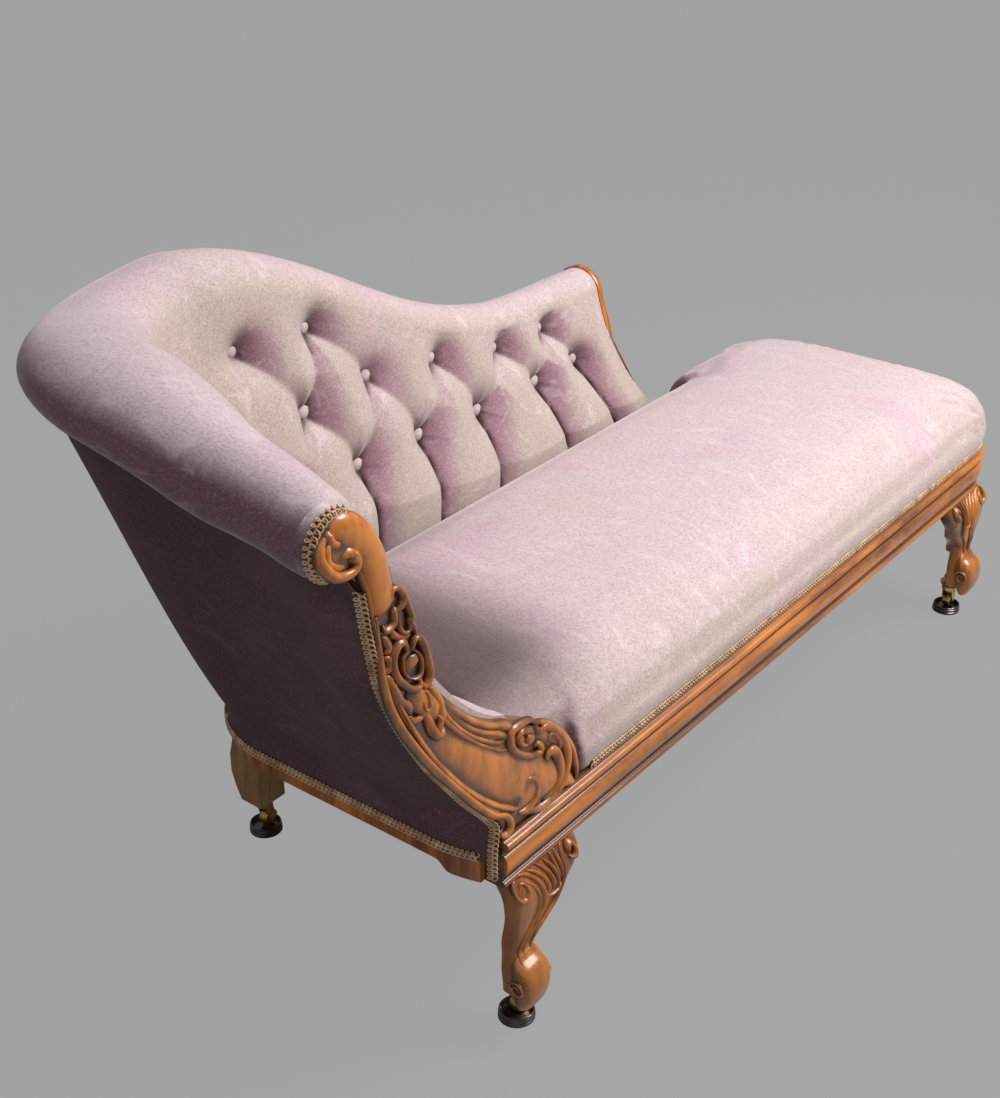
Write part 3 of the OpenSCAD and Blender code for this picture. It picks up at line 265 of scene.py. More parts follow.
class Finish:  # the nodes of a material, or of the world
    def __init__(self, name, kind="materials"):
        self.material = getattr(bpy.data, kind).new(name)
        self.material.use_nodes = True
        self.tree = self.material.node_tree
        self.tree.nodes.clear()

    def node(self, kind, settings=None, inputs=None, output=0):
        made = self.tree.nodes.new(kind)
        for key, value in (settings or {}).items():
            if key == "stops":
                self.setStops(made.color_ramp, value)
            else:
                setattr(made, key, value)
        for key, value in (inputs or {}).items():
            if isinstance(value, Wire):
                self.tree.links.new(value.socket, made.inputs[key])
            else:
                made.inputs[key].default_value = value
        return Wire(self, made.outputs[output]) if len(made.outputs) else None

    def setStops(self, ramp, stops):
        while len(ramp.elements) < len(stops):
            ramp.elements.new(0.5)
        for element, (place, colour) in zip(ramp.elements, stops):
            element.position = place
            element.color = (*colour, 1)

    def coords(self, scale=(1, 1, 1), turn=(0, 0, 0)):
        return self.node("ShaderNodeMapping", {}, {
            "Vector": self.node("ShaderNodeTexCoord", output="Object"), "Scale": scale,
            "Rotation": turn})

    def noise(self, vector, scale, detail=3, rough=0.55, warp=0.0):
        return self.node("ShaderNodeTexNoise", {}, {
            "Vector": vector, "Scale": scale, "Detail": detail, "Roughness": rough,
            "Distortion": warp})

    def waves(self, vector, direction, scale, warp, detail=1, fine=1.0):
        return self.node("ShaderNodeTexWave", {"bands_direction": direction}, {
            "Vector": vector, "Scale": scale, "Distortion": warp, "Detail": detail,
            "Detail Scale": fine})

    def attribute(self, name):
        return self.node("ShaderNodeAttribute", {"attribute_name": name}, {}, output="Fac")

    def ramp(self, value, stops):
        return self.node("ShaderNodeValToRGB", {"stops": stops}, {"Fac": value})

    def blend(self, share, *colours):
        low, high = (c if isinstance(c, Wire) else (*c, 1) for c in colours)
        return self.node("ShaderNodeMix", {"data_type": "RGBA"}, {0: share, 6: low, 7: high},
                         output=2)

    def layers(self, colour, *rows):
        # Colours laid over one another: each row has a mask, where it starts and is full, the
        # share of the colour there, and the colour
        for mask, start, full, share, tint in rows:
            colour = self.blend(mask.between(start, full) * share, colour, tint)
        return colour

    def bump(self, height, strength, distance):
        return self.node("ShaderNodeBump", {}, {
            "Height": height, "Strength": strength, "Distance": distance})

    def surface(self, **inputs):
        names = {key.replace("_", " "): value for key, value in inputs.items()}
        shader = self.node("ShaderNodeBsdfPrincipled", {}, names)
        self.node("ShaderNodeOutputMaterial", {}, {"Surface": shader})
        return self.material


def rgb(text):  # a screen colour as the linear numbers that the shader takes
    def linear(v):
        return v / 12.92 if v <= 0.04045 else ((v + 0.055) / 1.055) ** 2.4
    return tuple(linear(int(text[i:i + 2], 16) / 255) for i in (0, 2, 4))


# Velvet

# Velvet colours: top, front, side and under are painted light and shade for faces that point up, to
# the front, to the head end and down; deep is painted shade
pile = dict(
    top=rgb("C4B0B2"), front=rgb("B2A298"), side=rgb("6E4850"), under=rgb("44302F"),
    fleckLight=rgb("E0D0D2"), fleckDeep=rgb("84646C"), lilac=rgb("BE98A6"), deep=rgb("36221F"),
    sheen=0.45, sheenRough=0.35, sheenTint=(0.93, 0.82, 0.88, 1), lilacShare=0.45,
)


def makeVelvet(name, top, front, side, paleShare=1.0):
    # Painted light and shade: the colour follows which way a face points, pale facing up,
    # greyish facing the front, plum facing the head end and dark facing down. paleShare scales
    # the pale lilac, the pale flecks and the sheen: rubbed pile, and kept low on the shaded copy
    f = Finish(name)
    place = f.coords()
    mixed = tuple(mix(a, b, pile["lilacShare"] * paleShare) for a, b in zip(side, pile["lilac"]))
    facing = f.node("ShaderNodeTexCoord", output="Normal")
    across = f.node("ShaderNodeSeparateXYZ", {}, {"Vector": facing}, output="X")
    upward = f.node("ShaderNodeSeparateXYZ", {}, {"Vector": facing}, output="Z")
    patches = f.noise(place, scale=3.2, detail=3, rough=0.55, warp=0.8)
    crushed = f.noise(f.coords((18, 7, 18), (0.3, 0.2, 0.7)), 1.5, 4, rough=0.62, warp=1.4)
    flecks = f.noise(f.coords((210, 110, 190), (0.1, 0.5, 0.4)), 1.9, 3, rough=0.65)
    strands = f.noise(place, scale=700, detail=2, rough=0.6)
    leaning = across + (patches - 0.5) * 0.5
    rising = upward + (crushed - 0.5) * 0.45 + (patches - 0.5) * 0.4
    mottle = flecks * 0.6 + strands * 0.4
    # Painted light and shade by the face's direction: plum towards the head end, greyish to the
    # front, pale on top, dark underneath
    colour = f.blend(leaning.between(-1.0, -0.5), side, mixed)
    colour = f.layers(
        colour, (leaning, -0.6, 0.0, 1.0, front), (rising, 0.35, 1.05, 1.0, top),
        (0 - upward, 0.05, 0.7, 0.8, pile["under"]),
        (patches, 0.5, 0.66, 0.42 * paleShare, pile["lilac"]),
        (mottle, 0.46, 0.72, 0.3 * paleShare, pile["fleckLight"]),
        (1 - mottle, 0.44, 0.66, 0.5, pile["fleckDeep"]),
        (crushed, 0.53, 0.75, 0.3 * paleShare, pile["fleckLight"]),
        # Painted shade: darkened towards deep where fold is high
        (f.attribute("fold"), 0.15, 1.0, 0.85, pile["deep"]))
    return f.surface(
        Base_Color=colour, Roughness=0.92 - 0.12 * crushed, Specular_IOR_Level=0.1,
        Sheen_Weight=pile["sheen"] * paleShare, Sheen_Roughness=pile["sheenRough"],
        Sheen_Tint=pile["sheenTint"], Normal=f.bump(mottle, strength=0.3, distance=0.001))


velvet = makeVelvet("velvet", pile["top"], pile["front"], pile["side"])
rollVelvet = makeVelvet("roll_velvet", pile["top"], pile["front"], pile["side"])
# The outside covers take a darker copy of the velvet with little pale lilac and sheen: painted
# shade
shadedOutsideVelvet = makeVelvet("outside_velvet", rgb("705458"), rgb("5C4448"), rgb("523A3E"), 0.12)
# The buttons take a paler copy of the velvet: painted light against the shade of their dimples
litButtonVelvet = makeVelvet("lit_button_velvet", rgb("C8B8B8"), rgb("C0B0AA"), pile["top"])


# Walnut and plain woods

timber = dict(
    gold=rgb("C87622"), brown=rgb("783E10"), dark=rgb("3A1D0E"), black=rgb("1A0F0B"),
    legBrown=rgb("B06A1C"), sawn=rgb("A07A50"), sawnDark=rgb("6A4728"), raw=rgb("B08E60"),
    coat=0.35, coatRough=0.12,
)


def makeWalnut(name, stretch, carved, gloss=0.32, gold=timber["gold"], brown=timber["brown"]):
    # stretch is the grain's scale along x, y and z. carved finishes read the point's relief,
    # dark in the hollows and rubbed pale on the crests; on the facing's raised belly the pale
    # crest is also a painted highlight
    f = Finish(name)
    place = f.coords(stretch)
    figure = f.noise(place, scale=3.0, detail=4, rough=0.6, warp=1.6)
    streak = f.noise(place, scale=11.0, detail=5, rough=0.65, warp=0.5)
    pores = f.noise(f.coords(tuple(8 * s for s in stretch)), scale=9.0, detail=3, rough=0.6)
    worn = f.noise(f.coords(tuple(0.5 * s for s in stretch)), scale=7, detail=3, rough=0.6)
    grime = f.noise(f.coords(), scale=14, detail=4, rough=0.65)
    grain = figure * 0.55 + streak * 0.45
    colour = f.ramp(grain, [(0.32, timber["dark"]), (0.45, brown), (0.6, gold), (0.76, brown)])
    colour = f.layers(colour, (worn, 0.48, 0.7, 0.6, timber["dark"]))
    rubbed = grime.between(0.35, 0.75)
    if carved:
        relief = f.attribute("relief")
        crest = relief.between(0.5, 0.98)
        colour = f.blend(crest * rubbed * 0.7, colour, gold)
        hollow = 1 - relief.between(0.1, 0.68)
        colour = f.blend(hollow * (0.7 + 0.3 * grime), colour, timber["black"])
    else:
        colour = f.blend(rubbed * 0.25, colour, gold)
    colour = f.layers(colour, (pores, 0.62, 0.74, 0.5, timber["dark"]))
    return f.surface(
        Base_Color=colour, Roughness=gloss + 0.2 * grime, Coat_Weight=timber["coat"],
        Coat_Roughness=timber["coatRough"],
        Normal=f.bump(streak * 0.4 + pores * 0.6, strength=0.12, distance=0.001))


walnut = makeWalnut("walnut", (0.35, 4, 4), True)
railWalnut = makeWalnut("rail_walnut", (4, 0.35, 4), False, 0.38)
facingWalnut = makeWalnut("facing_walnut", (4, 4, 0.7), True, 0.26, brown=rgb("985820"))
headWalnut = makeWalnut("head_walnut", (5, 5, 0.6), False, 0.38)
carvingWalnut = makeWalnut("carving_walnut", (4, 4, 0.9), True, 0.3)
legWalnut = makeWalnut("leg_walnut", (4, 4, 0.5), True, 0.3, gold=timber["legBrown"])


def makeSawn(name, stretch, light, deep):
    f = Finish(name)
    grain = f.noise(f.coords(stretch), scale=7, detail=5, rough=0.62, warp=0.8)
    saw = f.waves(f.coords((1, 1, 1), (0, 0.25, 0)), "X", 90, 3.5, detail=2, fine=1.4)
    dirt = f.noise(f.coords(), scale=8, detail=4, rough=0.6)
    colour = f.ramp(grain, [(0.3, deep), (0.55, light), (0.8, deep)])
    colour = f.layers(colour, (dirt, 0.45, 0.8, 0.5, deep))
    return f.surface(Base_Color=colour, Roughness=0.72 + 0.15 * grain,
                     Normal=f.bump(saw * 0.6 + grain * 0.4, strength=0.25, distance=0.0012))


sawnWood = makeSawn("sawn_wood", (5, 5, 0.6), timber["sawn"], timber["sawnDark"])
frameWood = makeSawn("frame_wood", (0.6, 5, 5), timber["raw"], timber["sawn"])


# Cloths, braid and metals

def makeWeave(name, thread, gap, pitch):
    f = Finish(name)
    place = f.coords()
    woven = f.waves(place, "X", pitch, 1.2).atLeast(f.waves(place, "Y", pitch, 1.2))
    stain = f.noise(place, scale=6, detail=4, rough=0.6)
    colour = f.blend(woven * (0.55 + 0.45 * stain), gap, thread)
    return f.surface(Base_Color=colour, Roughness=0.9, Sheen_Weight=0.2,
                     Normal=f.bump(woven, strength=0.5, distance=0.001))


webbingCloth = makeWeave("webbing", rgb("B09A72"), rgb("6E5A3A"), 160)
canvasCloth = makeWeave("canvas", rgb("B8A888"), rgb("7C6C50"), 220)
dustCloth = makeWeave("dust_cloth", rgb("34302E"), rgb("151312"), 300)


def makeBraid():
    f = Finish("braid")
    place = f.coords()
    tint = f.noise(place, scale=60, detail=3, rough=0.6)
    thread = f.noise(place, scale=1100, detail=2, rough=0.6)
    dust = f.noise(place, scale=16, detail=3, rough=0.6)
    colour = f.ramp(tint, [(0.3, rgb("9A7450")), (0.5, rgb("C09A70")), (0.7, rgb("D8BC96"))])
    colour = f.layers(colour, (dust, 0.5, 0.75, 0.45, rgb("946A50")))
    # The band under the loops (relief 0) is dark: painted shade in the gaps between the loops
    colour = f.blend(f.attribute("relief"), rgb("4A3026"), colour)
    return f.surface(Base_Color=colour, Roughness=0.82, Sheen_Weight=0.25,
                     Normal=f.bump(thread, strength=0.5, distance=0.0006))


braidCloth = makeBraid()


def makeMetal(name, clean, dull, rough):
    f = Finish(name)
    worn = f.noise(f.coords(), scale=40, detail=5, rough=0.65, warp=0.4)
    scratch = f.noise(f.coords((30, 30, 400)), scale=4, detail=3, rough=0.6)
    colour = f.blend(worn.between(0.4, 0.68), clean, dull)
    return f.surface(Base_Color=colour, Metallic=1 - 0.4 * worn.between(0.5, 0.8),
                     Roughness=rough + 0.3 * worn,
                     Normal=f.bump(scratch, strength=0.08, distance=0.0004))


castorBrass = makeMetal("castor_brass", rgb("C9A660"), rgb("6B5432"), 0.24)
plainSteel = makeMetal("steel", rgb("A8A6A2"), rgb("6A625A"), 0.3)
springSteel = makeMetal("spring_steel", rgb("9A8474"), rgb("5A4438"), 0.38)


def makeCup():
    f = Finish("cup")
    dust = f.noise(f.coords(), scale=55, detail=4, rough=0.65)
    colour = f.blend(dust.between(0.5, 0.8) * 0.6, rgb("2A1C16"), rgb("6A5A4E"))
    return f.surface(Base_Color=colour, Roughness=0.18 + 0.4 * dust.between(0.45, 0.8),
                     Coat_Weight=0.4, Coat_Roughness=0.15)


cupGloss = makeCup()
print("finishes made")

finishOfSlot = {
    "walnut": railWalnut, "leg_walnut": legWalnut, "facing_walnut": facingWalnut,
    "carving_walnut": carvingWalnut, "sawn_wood": sawnWood, "frame_wood": frameWood,
    "webbing": webbingCloth, "canvas": canvasCloth, "dust_cloth": dustCloth, "braid": braidCloth,
    "velvet": velvet, "roll_velvet": rollVelvet, "outside_velvet": shadedOutsideVelvet,
    "spring_steel": springSteel, "steel": plainSteel, "castor_brass": castorBrass, "cup": cupGloss,
}


# The wall of head and back: u from 0 to 1 along the head, 1 to 2 round the corner, 2 to 3 along
# the back, and t from 0 to 1 up it. share 0 is the inside face, share 1 the outside

trace = dict(  # outer edge of the facing as (x, z), which the wall follows up to a share upTo
    outer=tenths(-2470, 8180, -2340, 8030, -2280, 7850, -2207, 7634, -2166, 7390, -2139, 7207,
                 -2090, 6950, -2051, 6757, -1975, 6429, -1815, 6033, -1600, 5600, -1230, 4990),
    outerLow=tenths(-890, 4530, -580, 4123, -200, 3680, -20, 3420, -66, 3255, 300, 3255,
                    800, 3255, 1300, 3255),
    upTo=0.4,
)
traceRows = [(z, headFaceX(couch["wallFront"]) - x)
             for x, z in (trace["outer"] + trace["outerLow"][:4])[::-1]]
wall = dict(
    headFlare=0.215, crestZ=0.912, scrollR=0.0345, scrollOut=0.2451, scrollZ=0.828, shoulder=0.07,
    rollR=0.077, coverT=0.003, softGap=0.0005, endRake=0.165, endBack=0.0675, rakeFrom=2.6,
    rakeReach=0.4, footShare=0.33, upright=0.3, padShare=0.52, cornerSlack=0.006,
    outerLean=(0.37, 0.27, 0.61),
)
shape = dict(  # tables of (u, value) along the wall
    crest=[(0, .944), (.5, .963), (.75, .978), (1, .989), (1.25, .987), (1.5, .973), (1.75, .976),
           (2, .988), (2.1, .962), (2.2, .92), (2.3, .866), (2.4, .81), (2.5, .764), (2.6, .734),
           (2.7, .72), (2.8, .719), (3, .719)],
    roll=[(0, .57), (.3, .61), (.5, .66), (.75, .65), (1, .68), (1.25, .65), (1.5, .7), (1.75, .79),
          (2, .84), (2.3, .68), (2.6, .56), (3, .54)],
    flare=[(0, 1.05), (.15, .945), (.3, .907), (.5, .86), (.75, .77), (1, .69), (1.25, .63),
           (1.5, .585), (1.7, .51), (2, .41), (2.3, .33), (2.6, .28), (3, .26)],
    wide=[(0, 1), (.3, 1.1), (.5, 1.18), (.75, 1.5), (1, 1.6), (1.25, 1.66), (1.5, 1.4),
          (1.75, 1.15), (2, 1.02)],
    turn=[(0, 248), (.6, 262), (1, 292), (1.5, 318), (2, 337), (2.4, 352), (3, 355)],
    inset=[(0, 1), (1, 1), (2, 1.45), (3, 1.5)],
    handleA=[(0, .43), (1, .43), (2, .36), (3, .34)],
    handleB=[(0, .1), (1, .1), (2, .26), (3, .3)],
    handleC=[(0, .9), (1, .9), (2, .74), (3, .68)],
    handleD=[(0, .64), (1, .64), (2, .66), (3, .67)],
    belly=[(0, .95), (.4, .9), (1, .68), (1.5, .58), (2, .62), (3, .8)],
)


def pathPoint(u):
    if u < 1:
        y = mix(couch["wallFront"], cornerY, u)
        return Vector((headFaceX(max(y, couch["wallFront"])), y))
    if u < 2:
        a = radians(90 * (u - 1))
        return Vector((cornerX - couch["cornerR"] * cos(a), cornerY + couch["cornerR"] * sin(a)))
    return Vector((mix(cornerX, backEndX, u - 2), couch["depth"]))


def pathOut(u):
    if u < 1:
        return Vector((-1, 0))
    a = radians(90 * clamp(u - 1))
    return Vector((-cos(a), sin(a)))


def handlesOf(low, high, ax, ay, bx, by):  # of a curve up the wall, as shares of its extent
    size = high - low
    return (low, low + Vector((size.x * ax, size.y * ay)),
            low + Vector((size.x * bx, size.y * by)), high)


class Section:  # the wall's outline across one place of its path
    def __init__(self, u):
        self.u = u
        full = wall["rollR"] * smoothAt(shape["roll"], u)
        ease = sqrt(1 - (1 - clamp(u / wall["shoulder"])) ** 2)
        self.rollR = mix(wall["scrollR"], full, ease)  # the roll's end is rounded off
        self.wide = mix(1, smoothAt(shape["wide"], u), ease)
        self.axisOut = mix(wall["scrollOut"], wall["headFlare"] * smoothAt(shape["flare"], u), ease)
        self.crest = wall["crestZ"] * smoothAt(shape["crest"], u)
        self.axisZ = mix(wall["scrollZ"], self.crest - full, ease)
        self.turn = smoothAt(shape["turn"], u)
        self.point, self.out = pathPoint(u), pathOut(u)
        foot = couch["railT"]
        self.innerFoot = (self.point.x - (foot - couch["headOut"]) if u < 1
                          else -foot * tableAt(shape["inset"], u))
        low = Vector((self.innerFoot, mix(couch["padLow"], self.axisZ, wall["footShare"])))
        shares = [smoothAt(shape["handle" + k], u) for k in "ABCD"]
        self.innerHandles = handlesOf(low, self.rim(180), *shares)
        coverGap = wall["softGap"] + wall["cornerSlack"] * couch["cornerR"]
        low = Vector((wall["coverT"] + coverGap, couch["padLow"]))
        leanX, leanZ, bellyZ = wall["outerLean"]
        self.outerHandles = handlesOf(low, self.rim(self.turn), leanX, leanZ,
                                      smoothAt(shape["belly"], u), bellyZ)

    def rim(self, degrees, gap=0.0):
        a = radians(degrees)
        return Vector((self.axisOut + (self.rollR * self.wide + gap) * cos(a),
                       self.axisZ + (self.rollR + gap) * sin(a)))

    def inner(self, t):
        h, upright = self.innerHandles, wall["upright"]
        if t < upright:
            return Vector((h[0].x, mix(couch["padLow"], h[0].y, t / upright)))
        return bezierAt(h, (t - upright) / (1 - upright))

    def outer(self, t):
        return bezierAt(self.outerHandles, t)

    def wallAt(self, t, share):
        flat = self.inner(t).lerp(self.outer(t), share)
        flatEnd = self.inner(1).lerp(self.outer(1), share)
        end = self.rim(mix(180, self.turn, share), 2 * wall["softGap"])
        p = flat + (end - flatEnd) * t ** 3
        traced = share * (1 - easeIn(self.u / trace["upTo"])) * (1 - easeIn(t, 0.9, 0.1))
        if traced > 0:
            top = self.rim(self.turn, 2 * wall["softGap"])
            edge = self.outer(t) + (top - self.outer(1)) * t ** 3
            p.x += (max(tableAt(traceRows, edge.y), self.outerHandles[0].x) - edge.x) * traced
        return p

    def place(self, p):
        rise = clamp((p.y - couch["padLow"]) / (endAxisZ - couch["padLow"]))
        lean = wall["endRake"] * (1 - rise) ** 2 - wall["endBack"]
        lean *= clamp((self.u - wall["rakeFrom"]) / wall["rakeReach"])
        return toFrame(self.point.x + self.out.x * p.x + lean,
                       self.point.y + self.out.y * p.x, p.y)


endAxisZ = wall["crestZ"] * smoothAt(shape["crest"], 3) - wall["rollR"] * smoothAt(shape["roll"], 3)


# The tufting: buttons in rows, as metres along the back and height above the floor

tufting = dict(
    rows=[[(0.190, 0.540), (0.355, 0.530), (0.500, 0.525), (0.650, 0.514), (0.825, 0.512),
           (0.955, 0.518)],
          [(0.270, 0.637), (0.410, 0.647), (0.565, 0.625), (0.730, 0.593), (0.880, 0.591)],
          [(0.160, 0.758), (0.300, 0.751)]],
    dimple=0.024, dimpleR=0.034, valley=0.010, valleyR=0.020, crease=0.0055, creaseR=0.0032,
    puff=0.004, puffR=0.03, bow=0.006, pleatReach=0.13, pleatKeep=0.72, lowKeep=(1.3, 0.9),
    # pleatShadeR and buttonShadeR: how far the painted shade reaches from a pleat and from a button
    pleatShadeR=0.0034, buttonShadeR=0.02, cornerArc=0.204, seatTuck=0.430, fadeHigh=0.05,
)


def pleatLines():
    low, middle, top = tufting["rows"]
    lines = []
    for row, nextRow in ((low, middle), (middle, top)):
        for a in row:
            for b in nextRow:
                if abs(a[0] - b[0]) < tufting["pleatReach"]:
                    lines.append((a, b))
    for a in low:
        lines.append((a, (a[0] + 0.004, tufting["seatTuck"] - 0.06)))
    return lines


pleats = pleatLines()
buttonPlaces = [b for row in tufting["rows"] for b in row]


def alongBack(u):  # metres along the back, from its start at the corner
    if u >= 2:
        return cornerX + (u - 2) * backSpan
    return cornerX - (2 - u) * tufting["cornerArc"]


def pleatAt(x, z):
    # How far from the nearest pleat, and how deep that pleat is there
    best, keep = 9.0, 1.0
    for (ax, az), (bx, bz) in pleats:
        dx, dz = bx - ax, bz - az
        share = clamp(((x - ax) * dx + (z - az) * dz) / (dx * dx + dz * dz))
        bow = tufting["bow"] * sin(pi * share)
        away = hypot(x - ax - share * dx - bow, z - az - share * dz)
        if away < best:
            best = away
            keep = 1 - (1 - tufting["pleatKeep"]) * sin(pi * share)
            if bz < tufting["seatTuck"]:
                keep = mix(*tufting["lowKeep"], share)
    return best, keep


def tuftAt(x, z, fade):
    # Depth of the face behind the puffs' crowns, and the painted shade along the pleats and round
    # the buttons
    away, keep = pleatAt(x, z)
    button = min(hypot(x - bx, z - bz) for bx, bz in buttonPlaces)
    depth = tufting["dimple"] * exp(-(button / tufting["dimpleR"]) ** 1.5)
    depth += keep * tufting["valley"] * exp(-(away / tufting["valleyR"]) ** 1.2)
    depth += keep * tufting["crease"] * exp(-away / tufting["creaseR"])
    depth -= tufting["puff"] * (1 - exp(-(min(away, button) / tufting["puffR"]) ** 2))
    tuftShade = 1.1 * keep * exp(-away / tufting["pleatShadeR"])
    tuftShade += 0.55 * exp(-(button / tufting["buttonShadeR"]) ** 2)
    return depth * fade, clamp(tuftShade) * fade


inside = dict(
    columns=(64, 44, 250), faceRows=118, rollRows=44, rearRows=10, lip=0.010, nose=0.009,
    edgeColumns=10, edgeShare=0.1, lipFade=(0.08, 0.3), lipUp=(0.1, 0.85), sharp=50,
)


def insideShares():
    head, corner, back = inside["columns"]
    nose = (inside["nose"] - couch["wallFront"]) / (cornerY - couch["wallFront"])
    edge, share = inside["edgeColumns"], inside["edgeShare"]
    return ([nose] + [share * i / edge for i in range(edge)] + steps(share, 1, head - edge)[:-1]
            + [1 + i / corner for i in range(corner)]
            + [2 + i / back for i in range(back + 1)])


def tuftFade(s, z):  # the tufting dies away at the corner, at the back's end and at the crest
    fade = easeIn(alongBack(s.u), -0.03, 0.12) * easeIn((3 - s.u) / 0.05)
    return fade * easeIn((s.crest - z) / tufting["fadeHigh"])


def makeInsideVelvet():
    # The inside face, carried over the roll and down its rear in one closed skin
    us = insideShares()
    face, roll, rear = inside["faceRows"], inside["rollRows"], inside["rearRows"]
    total = face + roll + rear
    sections = [Section(u) for u in us]

    def tufted(s, p):
        return tuftAt(alongBack(s.u), p.y, tuftFade(s, p.y))

    def place(a, b):
        s = sections[round(a * (len(us) - 1))]
        j = round(b * (total + 1)) % (total + 1)
        if j <= face:
            t = j / face
            start, reach = inside["lipUp"]
            lip = inside["lip"] * (1 - easeIn(s.u, *inside["lipFade"]))
            lip *= sin(pi * clamp((t - start) / reach))
            p = s.wallAt(t, 0) - Vector((lip, 0))
            depth, tuftShade = tufted(s, p)
            return s.place(p + Vector((depth, 0))), tuftShade
        if j <= face + roll:
            angle = mix(180, s.turn - 360, (j - face) / roll)
            p = s.rim(angle)
            if angle < 90:
                return s.place(p), 0.0
            depth, tuftShade = tufted(s, p)
            out = Vector((cos(radians(angle)), sin(radians(angle))))
            return s.place(p - out * depth), tuftShade
        t = 1 - (j - face - roll) / rear
        return s.place(s.wallAt(t, wall["padShare"])), 0.0

    piece = skin("insideVelvet", len(us) - 1, total + 1, place, ("fold",))
    smoothFaces(piece, inside["sharp"])
    finishPiece(piece, velvet, "velvet",
                "head_pad", "corner_pad", "back_pad", "head_roll", "corner_roll", "back_roll")


outside = dict(rows=60, hemRows=3, hem=0.52)


def hemHigh():  # height of the outside covers' lower edge on the rails
    return couch["railLow"] + outside["hem"] * (couch["railHigh"] - couch["railLow"])


def makeOutsideVelvet():
    us = insideShares()[::2] + [3]
    rows, hemRows = outside["rows"], outside["hemRows"]
    sections = [Section(u) for u in us]

    def place(a, b):
        s = sections[round(a * (len(us) - 1))]
        j = round(b * 2 * (rows + 1)) % (2 * (rows + 1))
        outward = j <= rows
        k = j if outward else 2 * rows + 1 - j
        if k < hemRows:
            p = Vector((s.outer(0).x, mix(hemHigh(), couch["padLow"], k / hemRows)))
        else:
            p = s.wallAt((k - hemRows) / (rows - hemRows), 1)
        return s.place(p - Vector((0 if outward else wall["coverT"] * 0.9, 0))), 0.0

    piece = skin("shadedOutsideVelvet", len(us) - 1, 2 * (rows + 1), place, ("fold",))
    smoothFaces(piece, inside["sharp"])
    finishPiece(piece, shadedOutsideVelvet, "outside_velvet",
                "outside_head", "outside_corner", "outside_back")


makeInsideVelvet()
print("inside velvet made")
makeOutsideVelvet()
print("outside velvet made")


# Seat

seat = dict(
    top=0.446, over=0.014, inset=0.004, spineIn=0.200, shy=0.3, voxel=0.0068, puff=0.008, frames=14,
    curve=[(.2, -.02), (.2, .09), (-.2, .16), (-.6, .36), (1.5, .56), (6, .73)],
    crown=[(.12, .86), (.3, .94), (.56, .985), (.82, 1)],
    volute=0.066, voluteReach=1.36, slipVolute=0.024, slipT=0.016,
    bottomShadeHigh=0.03, wallY=0.47, armShade=0.8, armFrom=0.13, armReach=0.26,
    backShade=0.7, backFrom=0.25, backReach=0.45, backFade=0.07,
    heldHigh=0.012, heldFade=0.03, cloth=dict(
        quality=4, mass=0.3, tension_stiffness=12, bending_stiffness=4,
        vertex_group_mass="held", use_pressure=True, uniform_pressure_force=4),
)


def notchEnd(gap):  # where the seat comes out from behind the facing's volute
    return seat["voluteReach"] * seat["volute"] + seat["volute"] + gap


def seatEdge(inset, swell):
    # The seat's outline: notched round the volute, round at the foot, and inside the wall
    gap = wall["softGap"]
    notchY = couch["wallFront"] + gap
    shy = max(0, inset) * seat["shy"]
    left = couch["railT"] - couch["headOut"] + gap + shy
    notchX = notchEnd(gap) + inset
    footX = couch["length"] + swell
    backY = couch["depth"] - 1.5 * couch["railT"] - gap - shy
    endX = Section(3).place(Vector((0, couch["padLow"]))).x - originX
    stepX = endX + seat["slipT"] + gap + seat["slipVolute"]
    frontR, backR, w = couch["footFrontR"], couch["footBackR"], seat["inset"]
    edge = [(left, notchY + shy), (mix(left, notchX, 0.5), notchY + shy), (notchX, notchY + shy),
            (notchX + w, mix(0.6 * notchY, notchY + shy, clamp(inset / notchY))),
            (notchX + 2 * w, inset)]
    edge += [(x, inset) for x in steps(notchX + 6 * w, footX - frontR - w, 24)]
    edge += [(footX - frontR + (frontR - inset) * cos(radians(a)),
              frontR + (frontR - inset) * sin(radians(a))) for a in steps(-80, -2, 10)]
    edge += [(footX - backR + (backR - inset) * cos(radians(a)),
              couch["depth"] - backR + (backR - inset) * sin(radians(a))) for a in steps(2, 86, 12)]
    edge += [(stepX + 3 * w, couch["depth"] - inset),
             (stepX + w, mix(couch["depth"] - inset, backY, 0.5)), (stepX, backY)]
    edge += [(x, backY) for x in steps(backEndX, cornerX + w, 20)]
    for u in steps(1.85, 1, 8):
        setIn = couch["railT"] * tableAt(shape["inset"], u)
        p = pathPoint(u) + pathOut(u) * (-setIn - 4 * gap - shy)
        edge.append((p.x, p.y))
    edge.append((left, mix(cornerY, notchY, 0.5)))
    return edge


def pulled(ring, x, y, share, z=None):  # a ring drawn in to a place
    return [(mix(p[0], x, share), mix(p[1], y, share), p[2] if z is None else z) for p in ring]


def seatRing(inset, rise, pull):
    swell = 0 if rise < 0.1 else seat["over"]
    ring = []
    for x, y in seatEdge(inset, swell):
        spineX = clamp(x, seat["spineIn"], couch["length"] - seat["spineIn"])
        ring.append((mix(x, spineX, pull), mix(y, couch["depth"] / 2, pull),
                     mix(couch["padLow"], seat["top"], rise)))
    return ring


